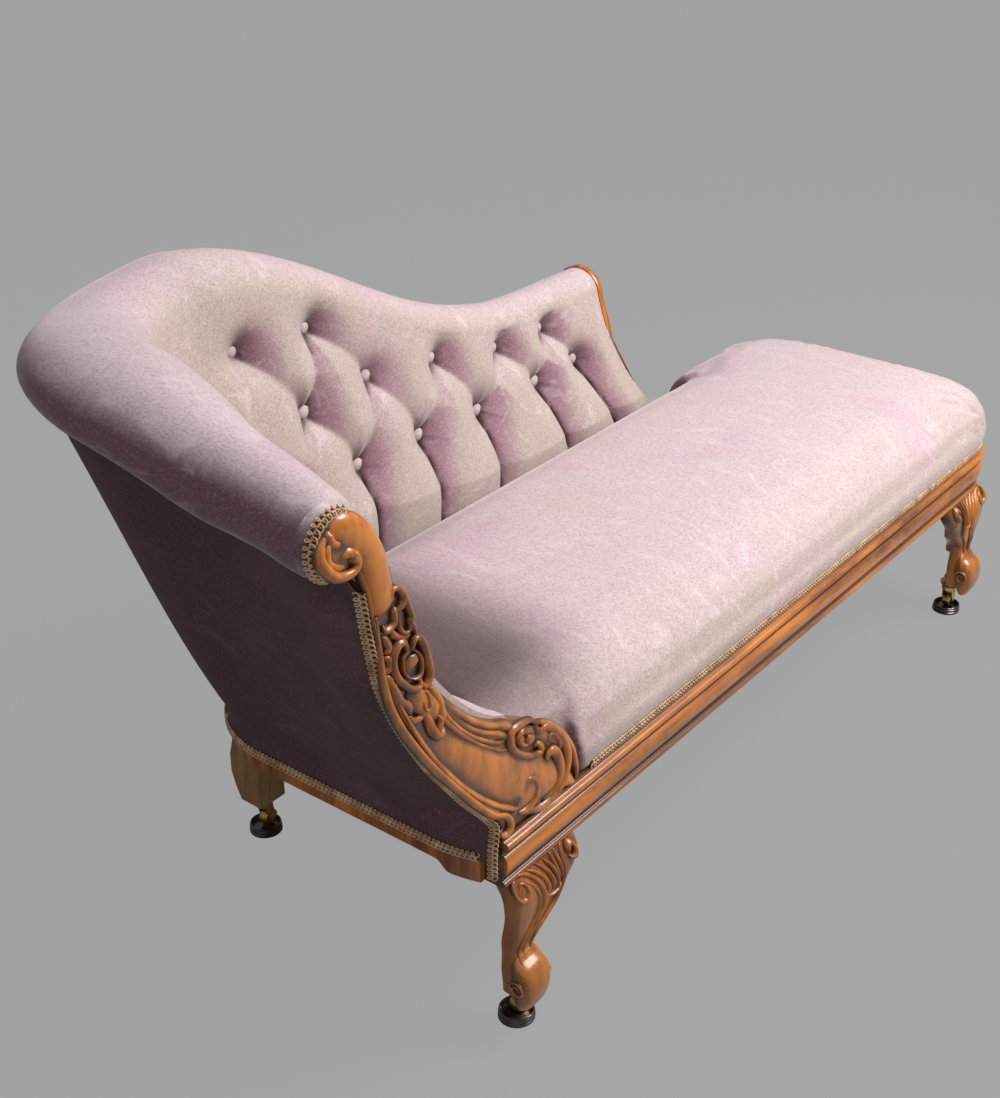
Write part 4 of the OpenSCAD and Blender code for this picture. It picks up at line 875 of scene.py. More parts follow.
def makeSeat():
    rings = [seatRing(row[0] * seat["inset"], row[1], 0) for row in seat["curve"]]
    lastInset = seat["curve"][-1][0] * seat["inset"]
    rings += [seatRing(lastInset, row[1], row[0]) for row in seat["crown"]]
    count = len(rings[0])
    x, y = couch["length"] / 2, couch["depth"] / 2
    low, top = [(x, y, couch["padLow"])] * count, [(x, y, seat["top"])] * count
    rings = ([low, pulled(rings[0], x, y, 0.5)] + rings
             + [pulled(rings[-1], x, y, 0.6, seat["top"]), top])

    def place(a, b):
        ring = rings[round(b * (len(rings) - 1))]
        return toFrame(*ring[round(a * count) % count])

    piece = skin("seatCushion", count, len(rings) - 1, place)
    modify(piece, "REMESH", mode="VOXEL", voxel_size=seat["voxel"])
    modify(piece, "SMOOTH", factor=0.5, iterations=4)
    inflate(piece)
    smoothFaces(piece)
    paintSeatShade(piece)
    finishPiece(piece, velvet, "velvet", "seat")


def inflate(piece):
    # Cloth with air in it, held along the bottom edge; how far a point moves is capped
    rest = [v.co.copy() for v in piece.data.vertices]
    held = piece.vertex_groups.new(name="held")
    for v in piece.data.vertices:
        grip = 1 - clamp((v.co.z - couch["padLow"] - seat["heldHigh"]) / seat["heldFade"])
        held.add([v.index], grip, "REPLACE")
    pick(piece)
    cloth = piece.modifiers.new("Cloth", "CLOTH")
    for key, value in seat["cloth"].items():
        setattr(cloth.settings, key, value)
    cloth.settings.effector_weights.gravity = 0
    for number in range(1, seat["frames"] + 1):
        scene.frame_set(number)
    bpy.ops.object.modifier_apply(modifier=cloth.name)
    piece.vertex_groups.clear()
    scene.frame_set(1)
    for v, start in zip(piece.data.vertices, rest):
        moved = v.co - start
        if moved.length > seat["puff"]:
            v.co = start + moved * (seat["puff"] / moved.length)


def paintSeatShade(piece):
    # Painted shade along the bottom edge, where the seat meets the rail, and where it runs under
    # the arm and the back
    values = []
    for v in piece.data.vertices:
        x, y = v.co.x - originX, v.co.y - originY
        low = 1 - clamp((v.co.z - couch["padLow"]) / seat["bottomShadeHigh"])
        arm = (1 - easeIn(x, seat["armFrom"], seat["armReach"])) * mix(0.35, 1, easeIn(y / 0.15))
        back = 1 - easeIn(x, seat["backFrom"], seat["backReach"])
        back *= exp((min(y, seat["wallY"]) - seat["wallY"]) / seat["backFade"])
        shade = max(seat["armShade"] * arm, seat["backShade"] * back)
        values.append(max(0.5 * low, 0.15 + shade))
    paint(piece, "fold", values)


makeSeat()
print("seat made")


# Walnut mouldings of the seat frame

def smoothPath(points, per):
    # A smooth line through points, as many samples between two of them as per says
    p = [Vector(q) for q in points]
    p = [p[0] * 2 - p[1]] + p + [p[-1] * 2 - p[-2]]
    line = []
    for i in range(1, len(p) - 2):
        for k in range(per):
            t = k / per
            line.append(0.5 * ((2 * p[i]) + (p[i + 1] - p[i - 1]) * t
                               + (2 * p[i - 1] - 5 * p[i] + 4 * p[i + 1] - p[i + 2]) * t * t
                               + (3 * p[i] - p[i - 1] - 3 * p[i + 1] + p[i + 2]) * t ** 3))
    line.append(p[-2])
    return line


def slopeAt(line, i):
    return line[min(i + 1, len(line) - 1)] - line[max(i - 1, 0)]


def sideways(slope):
    return Vector((-slope.y, slope.x)).normalized()


def tapered(least, share):  # from least up to 1 as share comes to 1, rounding off
    return least + (1 - least) * sin(pi / 2 * clamp(share))


moulding = dict(
    relief=0.009, per=3, wobble=0.0004, counts=(60, 18, 12, 22),
    outline=[(0, 0), (.33, .02), (.42, .065), (.3, .11), (-.1, .13), (-.1, .2), (.1, .24), (.5, .3),
             (.75, .4), (.8, .5), (.6, .6), (.2, .655), (-.15, .675), (-.15, .75), (.55, .775),
             (.95, .82), (1, .87), (.8, .915), (.1, .945), (-.05, 1)],
)


def railPath():
    # Points of the rail's face line with the direction outwards
    length, depth = couch["length"], couch["depth"]
    a, b = couch["footFrontR"], couch["footBackR"]
    along, cornerA, end, cornerB = moulding["counts"]
    line = [(x, 0.0, 0.0, -1.0) for x in steps(0, length - a, along)]
    line += [(length - a + a * cos(t), a + a * sin(t), cos(t), sin(t))
             for t in steps(-pi / 2, 0, cornerA)[1:]]
    line += [(length, y, 1.0, 0.0) for y in steps(a, depth - b, end)[1:]]
    line += [(length - b + b * cos(t), depth - b + b * sin(t), cos(t), sin(t))
             for t in steps(0, pi / 2, cornerB)[1:]]
    return line


def makeMoulding():
    tall = couch["railHigh"] - couch["railLow"]
    profile = [Vector((x * moulding["relief"], couch["railLow"] + z * tall))
               for x, z in moulding["outline"]]
    face = smoothPath(profile, moulding["per"])
    ring = face + [Vector((-couch["railT"], z)) for z in (couch["railHigh"], couch["railLow"])]
    line = railPath()

    def place(a, b):
        x, y, outX, outY = line[round(b * (len(line) - 1))]
        p = ring[round(a * len(ring)) % len(ring)]
        worn = moulding["wobble"] * noise.noise(Vector((x * 9, y * 9, p.y * 60)))
        lift = p.x + worn if p.x > -0.01 else p.x
        relief = clamp(0.32 + 0.75 * p.x / moulding["relief"])
        return toFrame(x + outX * lift, y + outY * lift, p.y), relief

    piece = skin("railMoulding", len(ring), len(line) - 1, place, ("relief",))
    smoothFaces(piece, 42)
    finishPiece(piece, walnut, "walnut",
                "front_rail", "foot_front_corner", "foot_rail", "foot_back_corner")


makeMoulding()


# Head rail, veneered with the grain upright, and round the corner in one piece

headRail = dict(
    lift=0.014, block=0.07, slope=0.02, round=0.0025, wobble=0.0003, start=0.005, columns=110,
)


def makeHeadRail():
    us = steps(headRail["start"], 2, headRail["columns"])

    def place(a, b):
        u = us[round(b * headRail["columns"])]
        p, out = pathPoint(u), pathOut(u)
        lift = headRail["lift"] * easeIn(p.y, headRail["block"], headRail["slope"])
        low = couch["railLow"] + lift
        r, back, high = headRail["round"], -couch["railT"], couch["railHigh"]
        outline = [(0, high), (0, mix(low, high, 0.66)), (0, mix(low, high, 0.33)), (0, low + r),
                   (-0.3 * r, low + 0.3 * r), (-r, low), (back, low), (back, high)]
        away, z = outline[round(a * 8) % 8]
        if back < away:
            away += headRail["wobble"] * noise.noise(Vector((p.x * 20, p.y * 20, z * 30)))
        return toFrame(p.x + out.x * away, p.y + out.y * away, z)

    piece = skin("headRail", 8, headRail["columns"], place)
    smoothFaces(piece, 40)
    finishPiece(piece, headWalnut, "walnut", "head_rail", "head_corner")


makeHeadRail()
print("mouldings made")


# Carved strokes: a tapered ridge along a drawn line, lying on a surface

stroke = dict(taper=(0.3, 0.25), startSize=0.35, endSize=0.25, per=6, sides=12, lean=0.4)


def carvedStroke(points, width, height, surface, taper=stroke["taper"], per=stroke["per"],
                 sides=stroke["sides"], lean=stroke["lean"]):
    line = smoothPath(points, per)
    last = len(line) - 1
    start, end = taper

    def place(a, b):
        i = round(b * last)
        size = tapered(stroke["startSize"], b / start) * tapered(stroke["endSize"], (1 - b) / end)
        across, lift = cos(2 * pi * a), sin(2 * pi * a)
        off = across * width * size + lean * width * size * max(0, lift)
        q = line[i] + sideways(slopeAt(line, i)) * off
        relief = clamp(0.1 + 0.9 * lift * size) if lift > 0 else 0.0
        return toFrame(q.x, surface(q.x, q.y) - lift * height * size, q.y), relief

    return skin("stroke", sides, last, place, ("relief",))


# The carved facing at the front of the head

facing = dict(
    thick=0.026, across=34, along=150, bead=0.0045, field=0.005, armWide=0.019, armHigh=0.011,
    volute=(0.0898, 0.391), reach=0.066, split=0.6, scroll=(-0.254, 0.828), scrollR=0.032,
    edge=0.003, carvedHigh=0.8, carvedWide=1.15, sink=0.001, clear=(0.003, 0.008), wrap=6,
    scrollDome=0.004, scrollIn=0.002, scrollRings=(16, 22), scrollSides=48,
    inner=tenths(-2500, 8510, -2321, 8430, -2084, 8240, -1913, 8004, -1796, 7731, -1744, 7482,
                 -1638, 7262, -1570, 7026, -1488, 6809),
    arm=tenths(-2680, 8380, -2620, 8440, -2503, 8450, -2340, 8350, -2190, 8163, -2080, 7943,
               -2015, 7700, -1985, 7477, -1965, 7250),
)
front = Section(0)


def resample(points, count):
    # The same line with its points at even steps
    line = smoothPath(points, 12)
    run = [0.0]
    for p, q in zip(line, line[1:]):
        run.append(run[-1] + (q - p).length)
    out, k = [], 0
    for want in steps(0, run[-1], count):
        while k < len(run) - 2 and run[k + 1] < want:
            k += 1
        share = clamp((want - run[k]) / max(run[k + 1] - run[k], 1e-9))
        out.append(line[k].lerp(line[k + 1], share))
    return out


def facingLines():
    # Outer and inner edge of the facing, sampled alike from the top scroll to the rail
    faceX = headFaceX(couch["wallFront"])
    vx, vz = facing["volute"]
    r = facing["reach"]
    innerFoot = front.inner(wall["upright"])
    foot = Vector((faceX - innerFoot.x, innerFoot.y))
    brow = [foot, Vector((vx - 0.62 * r, vz + 1.02 * r)),
            Vector((vx + 0.72 * r, vz + 0.75 * r)), Vector((vx + 0.96 * r, vz - 0.9 * r))]
    side = [front.inner(t) for t in (0.62, 0.55, 0.48, 0.42, 0.36)]
    inner = facing["inner"] + [(faceX - p.x, p.y) for p in side] + [tuple(foot)]
    top = round(facing["along"] * facing["split"])
    low = facing["along"] - top
    outerLine = resample(trace["outer"] + trace["outerLow"][:1], top)
    outerLine += resample(trace["outerLow"], low)[1:]
    innerLine = resample(inner, top) + [bezierAt(brow, t) for t in steps(0, 1, low)[1:]]
    return outerLine, innerLine


def roundAt(w, middle, half):  # 1 on the middle of a round bead, 0 beside it
    return sqrt(max(0, 1 - ((w - middle) / half) ** 2))


def facingHeight(v, w):
    # How far the carved face stands out, v along the facing and w across it: a bead on the
    # outer edge as far as the brow, two on the inner edge lower down, and a full field between
    bead, field = facing["bead"], facing["field"]
    outerBead = bead * roundAt(w, 0.055, 0.055) * (1 - easeIn(v, 0.74, 0.08))
    innerBead = 0.8 * bead * roundAt(w, 0.93, 0.06) * easeIn(v, 0.4, 0.1)
    innerBead += (0.6 * bead * roundAt(w, 0.80, 0.045) * easeIn(v, 0.46, 0.1)
                  * (1 - easeIn(v, 0.72, 0.08)))
    belly = field * sin(pi * clamp((w - 0.16) / 0.6)) * easeIn(v, 0.45, 0.12)
    return max(outerBead, innerBead, belly) - facing["sink"]


def strokeTree():
    points = [p for width, height, line in carving.values() for p in smoothPath(line, 6)]
    tree = kdtree.KDTree(len(points))
    for i, p in enumerate(points):
        tree.insert((p.x, p.y, 0), i)
    tree.balance()
    return tree


def clearOf(tree, x, z):  # 0 beside a carved stroke, 1 well away from any
    return easeIn(tree.find((x, z, 0))[2], *facing["clear"])


def makeFacing():
    outer, inner = facingLines()
    count, last, wrap = facing["across"], facing["along"], facing["wrap"]
    carved = strokeTree()

    def place(a, b):
        j = round(b * last)
        i = round(a * (count + wrap)) % (count + wrap)
        if i <= count:
            w = i / count
            p = outer[j].lerp(inner[j], w)
            edge = facing["edge"] * exp(-min(w, 1 - w) * count / 1.2)
            lift = facingHeight(j / last, w) - edge
            # The raised belly counts as a crest and takes the paler gold: rubbed wood, and on the
            # belly also a painted highlight
            relief = clamp(0.42 + lift / facing["bead"] * 0.6)
            relief *= mix(0.35, 1, clearOf(carved, p.x, p.y))
            return toFrame(p.x, -lift, p.y), relief
        k = i - count  # round the back, from the inner edge to the outer
        w = 1 if k <= wrap / 2 else 0
        deep = min(k, wrap - k) / (wrap / 2)
        p = outer[j].lerp(inner[j], w)
        return toFrame(p.x, mix(facing["edge"], facing["thick"], deep), p.y), 0.4

    body = skin("facingBody", count + wrap, last, place, ("relief",))
    scrollX, scrollZ = facing["scroll"]
    face, rings = facing["scrollRings"]

    def disc(a, b):  # the top scroll's round, slightly domed
        angle = 2 * pi * a
        k = round(b * rings)
        if k <= face:
            r = facing["scrollR"] * k / face
            y = -facing["scrollDome"] * (1 - (k / face) ** 2)
            y += facing["scrollIn"] if k == face else 0
        else:
            r = facing["scrollR"] * (1 if k < rings - 1 else 0.5 if k == rings - 1 else 0)
            y = mix(facing["scrollIn"], facing["thick"], clamp((k - face) / 4))
        x, z = scrollX + r * cos(angle), scrollZ + r * sin(angle)
        return toFrame(x, y, z), mix(0.12, 0.5, clearOf(carved, x, z))

    top = skin("facingTop", facing["scrollSides"], rings, disc, ("relief",))
    arm = carvedStroke(facing["arm"], facing["armWide"], facing["armHigh"],
                       lambda x, z: 0.004, (0.35, 0.1), 8, 20, 0)
    for v in arm.data.attributes["relief"].data:
        v.value = clamp(v.value + 0.1)
    piece = joined("scrollFacing", [body, top, arm])
    smoothFaces(piece, 45)
    finishPiece(piece, facingWalnut, "facing_walnut", "scroll_facing")


carving = dict(  # each stroke: half width, height, and its line as (x, z)
    topOuter=(.0058, .0105, tenths(-2700, 8480, -2798, 8414, -2838, 8287, -2772, 8136,
        -2609, 7978, -2418, 7944, -2316, 8013, -2341, 8136, -2450, 8207, -2532, 8168,
        -2490, 8088)),
    topInner=(.0045, .0085, tenths(-2660, 8400, -2743, 8319, -2736, 8194, -2618, 8081,
        -2476, 8057)),
    topEye=(.0060, .0120, tenths(-2440, 8150, -2395, 8120, -2420, 8060)),
    topLeafA=(.0045, .0080, tenths(-2690, 8520, -2701, 8459, -2631, 8344, -2523, 8311)),
    hook=(.0038, .0085, tenths(-1796, 7400, -1866, 7433, -1838, 7507, -1752, 7482, -1679, 7370,
        -1726, 7271, -1839, 7257)),
    rightEdge=(.0030, .0075, tenths(-1720, 7500, -1684, 7425, -1614, 7233, -1566, 7085,
        -1589, 7035, -1530, 6922, -1486, 6807)),
    leftCurl=(.0032, .0075, tenths(-1800, 7300, -1826, 7245, -1838, 7123, -1951, 7096,
        -1975, 7160)),
    drop=(.0028, .0075, tenths(-1765, 7216, -1754, 7030, -1670, 6922, -1590, 6952, -1591, 7098)),
    dropSide=(.0040, .0060, tenths(-1880, 7060, -1820, 6960, -1700, 6880, -1560, 6860)),
    frameLeft=(.0042, .0100, tenths(-1600, 6760, -1642, 6730, -1691, 6850, -1809, 6844,
        -1885, 6707, -1834, 6484, -1645, 6247, -1491, 6172, -1445, 6250, -1505, 6313)),
    frameRight=(.0040, .0100, tenths(-1620, 6690, -1578, 6699, -1531, 6791, -1432, 6727,
        -1345, 6479, -1310, 6248, -1386, 6162, -1447, 6283)),
    ovalLeft=(.0020, .0070, tenths(-1554, 6680, -1644, 6705, -1720, 6636, -1716, 6487,
        -1640, 6374, -1585, 6334)),
    ovalRight=(.0020, .0070, tenths(-1554, 6680, -1480, 6600, -1432, 6491, -1437, 6349,
        -1510, 6310, -1585, 6334)),
    ovalField=(.0100, .0055, tenths(-1625, 6600, -1590, 6520, -1550, 6440)),
    ruffleA=(.0036, .0065, tenths(-2010, 7044, -1961, 6966, -1921, 6866, -1980, 6820)),
    ruffleB=(.0036, .0065, tenths(-1988, 6790, -1925, 6726, -1925, 6636, -1998, 6607)),
    ruffleC=(.0034, .0065, tenths(-1990, 6560, -1930, 6500, -1890, 6420)),
    shellA=(.0046, .0080, tenths(-1950, 6470, -1907, 6419, -1775, 6154, -1670, 6042,
        -1603, 5863)),
    shellB=(.0040, .0075, tenths(-1640, 5900, -1603, 5813, -1510, 5780, -1400, 5769)),
    shellC=(.0056, .0085, tenths(-1400, 5840, -1340, 5680, -1275, 5510, -1183, 5403, -1103, 5393,
        -1066, 5460)),
    shellD=(.0050, .0080, tenths(-1329, 6100, -1259, 6000, -1160, 5828, -1119, 5649,
        -1046, 5480)),
    shellBody=(.0125, .0070, tenths(-1640, 6180, -1530, 6050, -1400, 5920, -1290, 5780,
        -1190, 5600)),
    shellTip=(.0026, .0095, tenths(-1190, 5680, -1148, 5591, -1186, 5487, -1150, 5420)),
    slotRim=(.0022, .0098, tenths(-1420, 6060, -1391, 6085, -1355, 6000, -1350, 5884, -1385, 5860,
        -1415, 5950, -1420, 6060)),
    innerA=(.0030, .0075, tenths(-1200, 5900, -1151, 5799, -1002, 5512, -648, 5107, -190, 4756,
        34, 4677)),
    innerB=(.0028, .0065, tenths(-1165, 5732, -1057, 5529, -827, 5249, -487, 4901, -105, 4604,
        121, 4505)),
    rimLow=(.0042, .0085, tenths(1465, 3290, 1491, 3398, 1452, 3598, 1362, 3868, 1115, 4232,
        816, 4504, 467, 4697)),
    rimCurl=(.0046, .0095, tenths(600, 4650, 467, 4727, 166, 4762, 87, 4643, 168, 4440, 429, 4226,
        667, 4140, 728, 4205, 660, 4290, 587, 4266)),
    rimInner=(.0034, .0080, tenths(420, 4660, 306, 4635, 258, 4554, 345, 4424, 504, 4346)),
    leafA=(.0056, .0095, tenths(650, 4627, 597, 4525, 690, 4440, 815, 4446, 1059, 4220,
        1231, 3916, 1251, 3629, 1085, 3379, 770, 3297, 402, 3384)),
    leafB=(.0062, .0095, tenths(880, 3930, 869, 4001, 950, 4021, 1051, 3893, 1110, 3629,
        1005, 3447, 790, 3372)),
    leafC=(.0050, .0085, tenths(420, 3780, 451, 3858, 562, 3815, 622, 3675, 599, 3523, 440, 3446,
        284, 3471)),
    leafD=(.0036, .0070, tenths(900, 4180, 900, 4280, 990, 4240, 1090, 4080, 1130, 3900)),
    eye=(.0075, .0070, tenths(400, 4440, 480, 4420, 560, 4370)),
    ridgeOut=(.0034, .0070, tenths(180, 3700, 271, 3660, 237, 3589, 29, 3724, -236, 3936,
        -576, 4275, -901, 4657, -1210, 5082, -1475, 5517, -1683, 5923, -1823, 6247, -1930, 6600)),
    mouldOut=(.0044, .0080, tenths(-2080, 7300, -2057, 6932, -1986, 6364, -1805, 5868,
        -1364, 5149, -824, 4441, -280, 3799, 29, 3578, 123, 3401, 53, 3313, -40, 3350,
        -30, 3430)),
)


def makeCarving():
    strokes = []
    for width, height, line in carving.values():
        strokes.append(carvedStroke(line, facing["carvedWide"] * width,
                                    facing["carvedHigh"] * height, lambda x, z: 0.0006))
    piece = joined("facingCarving", strokes)
    smoothFaces(piece)
    finishPiece(piece, carvingWalnut, "carving_walnut", "facing_carving")


makeFacing()
makeCarving()
print("facing carved")


# Front legs

leg = dict(
    wide=0.050, foot=0.060, knee=0.062, ear=0.084, shift=-0.008, lean=-0.0124, castorX=0.048,
    footIn=0.096, castorY=0.014, earThick=0.030, sides=40, rows=60,
    whorl=(-.24, .13), whorlR=(0.0125, 0.002), whorlTurn=3.4 * pi, ridge=0.0022, proud=0.0025,
    coveredTo=.34, covered=-.12, slim=0.12, slimAt=(0.33, 0.16), toeWide=0.57,
    front=[(-.105, -.123), (-.1, -.235), (-.063, -.365), (0, -.461), (.079, -.526), (.158, -.542),
           (.221, -.494), (.274, -.38), (.305, -.219), (.337, -.106), (.395, -.09), (.474, -.155),
           (.58, -.219), (.71, -.284), (.816, -.315), (.9, -.26), (.96, -.16), (1, -.06)],
    back=[(0, .30), (.063, .30), (.126, .30), (.2, .31), (.274, .30), (.463, .297),
          (.59, .216), (.684, .184), (.816, .2), (.895, .297), (.937, .426), (1, .426)],
    left=[(0, -.36), (.1, -.42), (.25, -.5), (.6, -.5), (.86, -.6), (1, -.6)],
    earEdge=[(.36, 0), (.457, .09), (.547, .33), (.626, .57), (.758, .74), (.805, .86), (.88, 1),
             (1, 1.02)],
    toe=[(.05, .30), (-.09, .36), (-.2, .315), (-.36, .285), (-.48, .232), (-.54, .16),
         (-.54, .08), (-.49, 0), (-.41, -.063), (-.30, -.1), (-.19, -.095), (-.07, -.03),
         (.06, .06), (.08, .2), (.05, .30)],
    strokes=dict(
        volute=(.0030, .0060, tenths(208, 2379, 252, 2431, 312, 2400, 325, 2310, 254, 2245,
            165, 2275, 115, 2380, 145, 2480, 235, 2530)),
        ridgeA=(.0036, .0065, tenths(145, 2480, 255, 2535, 395, 2480, 530, 2328, 620, 2069,
            610, 1866, 510, 1690, 405, 1500, 350, 1300, 335, 1150)),
        ridgeB=(.0030, .0055, tenths(290, 2450, 431, 2331, 509, 2138, 520, 1926, 440, 1740,
            320, 1540, 260, 1350, 240, 1160)),
        leafA=(.0036, .0065, tenths(440, 2510, 587, 2400, 690, 2216, 713, 2036)),
        leafB=(.0036, .0065, tenths(574, 2537, 725, 2380, 810, 2185, 828, 2020)),
        leafC=(.0036, .0060, tenths(731, 2530, 845, 2357, 900, 2168, 909, 2033)),
        notch=(.0030, .0070, tenths(703, 1990, 823, 1978, 929, 1994, 989, 2057)),
        reedA=(.0030, .0060, tenths(895, 2520, 910, 2330, 941, 2125)),
        reedB=(.0030, .0060, tenths(990, 2525, 990, 2323, 990, 2108)),
        reedC=(.0030, .0065, tenths(1150, 2520, 1095, 2462, 1050, 2293, 1020, 2087, 899, 1814,
            732, 1650, 600, 1500, 510, 1330, 480, 1180)),
        ear=(.0042, .0100, tenths(1190, 2330, 1230, 2280, 1300, 2290, 1335, 2380, 1290, 2470,
            1220, 2460, 1200, 2390, 1245, 2350)),
    ),
)


def legFrontY(z):
    share = (z - leg["foot"]) / (couch["railLow"] - leg["foot"])
    return leg["castorY"] + leg["lean"] + leg["knee"] * smoothAt(leg["front"], share, 0.04)


def legRing(a, power=0.45):  # a square outline with rounded corners
    c, s = cos(2 * pi * a), sin(2 * pi * a)
    return (abs(c) ** power * (1 if c > 0 else -1), abs(s) ** power * (1 if s > 0 else -1))


def makeLegParts():
    tall = couch["railLow"] - leg["foot"]
    midY = leg["castorY"] + leg["lean"]
    x0 = leg["castorX"] + leg["shift"]

    def shaft(a, b):
        sx, sy = legRing(a)
        xl = x0 + leg["wide"] * smoothAt(leg["left"], b)
        xr = x0 + 0.5 * leg["wide"] + 0.25 * leg["ear"] * easeIn(b, 0.4, 0.3)
        frontShare = smoothAt(leg["front"], b, 0.04)
        if b < leg["coveredTo"]:  # under the toe
            frontShare = max(frontShare, leg["covered"])
        yf = midY + leg["knee"] * frontShare
        yb = midY + leg["knee"] * smoothAt(leg["back"], b, 0.04)
        slimAt, reach = leg["slimAt"]
        slim = 1 - leg["slim"] * exp(-((b - slimAt) / reach) ** 2)
        x = mix(xl, xr, 0.5) + 0.5 * (xr - xl) * sx * slim
        y = mix(yf, yb, 0.5) + 0.5 * (yb - yf) * sy
        return toFrame(x, y, leg["foot"] + tall * b), 0.62 + 0.2 * abs(sx)

    def ear(a, b):
        share = mix(leg["earEdge"][0][0], 1, b)
        z = leg["foot"] + tall * share
        sx, sy = legRing(a, 0.5)
        xl = x0
        xr = x0 + 0.5 * leg["wide"] + leg["ear"] * smoothAt(leg["earEdge"], share, 0.03)
        yf = legFrontY(z) + 0.001
        yb = yf + leg["earThick"]
        x = mix(xl, xr, 0.5) + 0.5 * (xr - xl) * sx
        y = mix(yf, yb, 0.5) + 0.5 * (yb - yf) * sy
        return toFrame(x, y, z), 0.45

    toeOutline = smoothPath(leg["toe"], 3)
    whorl = Vector(leg["whorl"])

    def toe(a, b):
        k = mix(-1, 1, b)
        p = toeOutline[round(a * (len(toeOutline) - 1))]
        full = (1 - abs(k) ** 3.2) ** 0.42
        p = whorl + (p - whorl) * mix(0.32, 1, full)
        x = x0 + leg["toeWide"] * leg["wide"] * k
        relief = clamp(0.35 + 0.6 * full)
        return toFrame(x, midY + leg["knee"] * p.x, leg["foot"] + tall * p.y), relief

    parts = [skin("legShaft", leg["sides"], leg["rows"], shaft, ("relief",)),
             skin("legEar", 28, 34, ear, ("relief",)),
             skin("legToe", len(toeOutline) - 1, 20, toe, ("relief",))]
    for width, height, line in leg["strokes"].values():
        parts.append(carvedStroke(line, width, height, lambda x, z: legFrontY(z) + leg["proud"]))
    for side in (-1, 1):  # the toe's side whorl
        turns = [(whorl.x * leg["knee"] + midY + r * cos(t),
                  leg["foot"] + tall * whorl.y + r * sin(t))
                 for t, r in zip(steps(0, leg["whorlTurn"], 14), steps(*leg["whorlR"], 14))]
        parts.append(sideStroke(turns, x0 + side * 0.5 * leg["wide"], side))
    return parts


def sideStroke(points, x, side):  # a thin round ridge on a leg's side
    line = smoothPath(points, 4)
    last = len(line) - 1

    def place(a, b):
        i = round(b * last)
        angle = 2 * pi * a
        size = leg["ridge"] * tapered(0.4, (1 - b) / 0.4)
        q = line[i] + sideways(slopeAt(line, i)) * cos(angle) * size
        relief = clamp(0.2 + 0.8 * sin(angle))
        return toFrame(x + side * (0.003 + 1.6 * size * sin(angle)), q.x, q.y), relief

    return skin("stroke", 8, last, place, ("relief",))


def makeFrontLegs():  # the foot end's leg is the head end's, mirrored
    head = joined("frontLegHead", makeLegParts())
    smoothFaces(head, 60)
    pick(head)
    bpy.ops.object.duplicate()
    foot = bpy.context.object
    foot.name = "frontLegFoot"
    middle = originX + (leg["castorX"] + couch["length"] - leg["footIn"]) / 2
    for v in foot.data.vertices:
        v.co.x = 2 * middle - v.co.x
    editAll(foot, (bpy.ops.mesh.flip_normals, {}))
    finishPiece(head, legWalnut, "leg_walnut", "leg_front_head")
    finishPiece(foot, legWalnut, "leg_walnut", "leg_front_foot")


makeFrontLegs()
print("front legs made")


# Carved slip at the back's end, and the wooden frame hidden in the back

slip = dict(
    thick=0.016, bevel=0.0045, rows=44, showShare=0.30, shy=0.0015, proud=0.002, topFrom=0.75,
    topSize=0.85,
    strokes=[(.0036, .0060, [(.02, .90), (.28, .99), (.58, .94), (.66, .84), (.50, .77), (.30, .80),
                             (.30, .88), (.42, .89)]),
             (.0032, .0050, [(.10, .62), (.22, .74), (.40, .76)]),
             (.0032, .0050, [(.14, .48), (.30, .60), (.56, .64)]),
             (.0030, .0050, [(.20, .34), (.36, .46), (.60, .50)]),
             (.0034, .0055, [(.34, .06), (.36, .22), (.50, .36), (.78, .44)]),
             (.0034, .0055, [(.60, .08), (.62, .20), (.74, .30)])],
)


def slipOutline(s):
    line = []
    for t in steps(0, 1, slip["rows"]):
        share = slip["showShare"] * (1 - easeIn(t, 0.55, 0.3))
        line.append(s.wallAt(t, share) + Vector((-slip["shy"], 0)))
    line += [s.rim(a, slip["proud"]) for a in steps(180, s.turn - 360, 40)[1:]]
    line += [s.wallAt(t, 1) + Vector((slip["proud"], 0)) for t in steps(1, 0, slip["rows"])[1:]]
    return line


def makeSlip():
    s = Section(3)
    line = slipOutline(s)
    centre = Vector((s.axisOut, s.axisZ))
    rows = [(0, 0.004), (0, 0), (slip["thick"] * 0.25, -0.0015), (slip["thick"] * 0.6, -0.001),
            (slip["thick"] - 0.002, slip["bevel"] * 0.4), (slip["thick"], slip["bevel"])]
    count = len(line)

    def place(a, b):
        i = round(a * count) % count
        x, inward = rows[round(b * (len(rows) - 1))]
        p = line[i]
        d = line[(i + 1) % count] - line[i - 1]
        n = Vector((d.y, -d.x)).normalized()
        return s.place(p + n * inward) + Vector((x, 0, 0)), clamp(0.75 - 60 * inward)

    def spotAt(share, rise):  # shares across the wall and up it, as far as the roll's crest
        top = slip["topFrom"]
        if rise < top:
            return s.wallAt(rise / top, share)
        return centre + Vector((
            mix(-s.rollR * s.wide, s.rollR * s.wide, share),
            mix(-s.rollR, s.rollR, (rise - top) / (1 - top)))) * slip["topSize"]

    parts = [skin("slipBoard", count, len(rows) - 1, place, ("relief",))]
    for width, height, path in slip["strokes"]:
        way = smoothPath([spotAt(*q) for q in path], 6)

        def ridge(a, b):
            i = round(b * (len(way) - 1))
            angle = 2 * pi * a
            size = tapered(0.4, b / 0.3) * tapered(0.3, (1 - b) / 0.3)
            q = s.place(way[i] + sideways(slopeAt(way, i)) * cos(angle) * width * size)
            return (q + Vector((slip["thick"] - 0.001 + height * size * sin(angle), 0, 0)),
                    clamp(0.15 + 0.85 * sin(angle)))

        parts.append(skin("stroke", 10, len(way) - 1, ridge, ("relief",)))
    piece = joined("endSlip", parts)
    smoothFaces(piece, 45)
    finishPiece(piece, carvingWalnut, "carving_walnut", "back_end_slip")


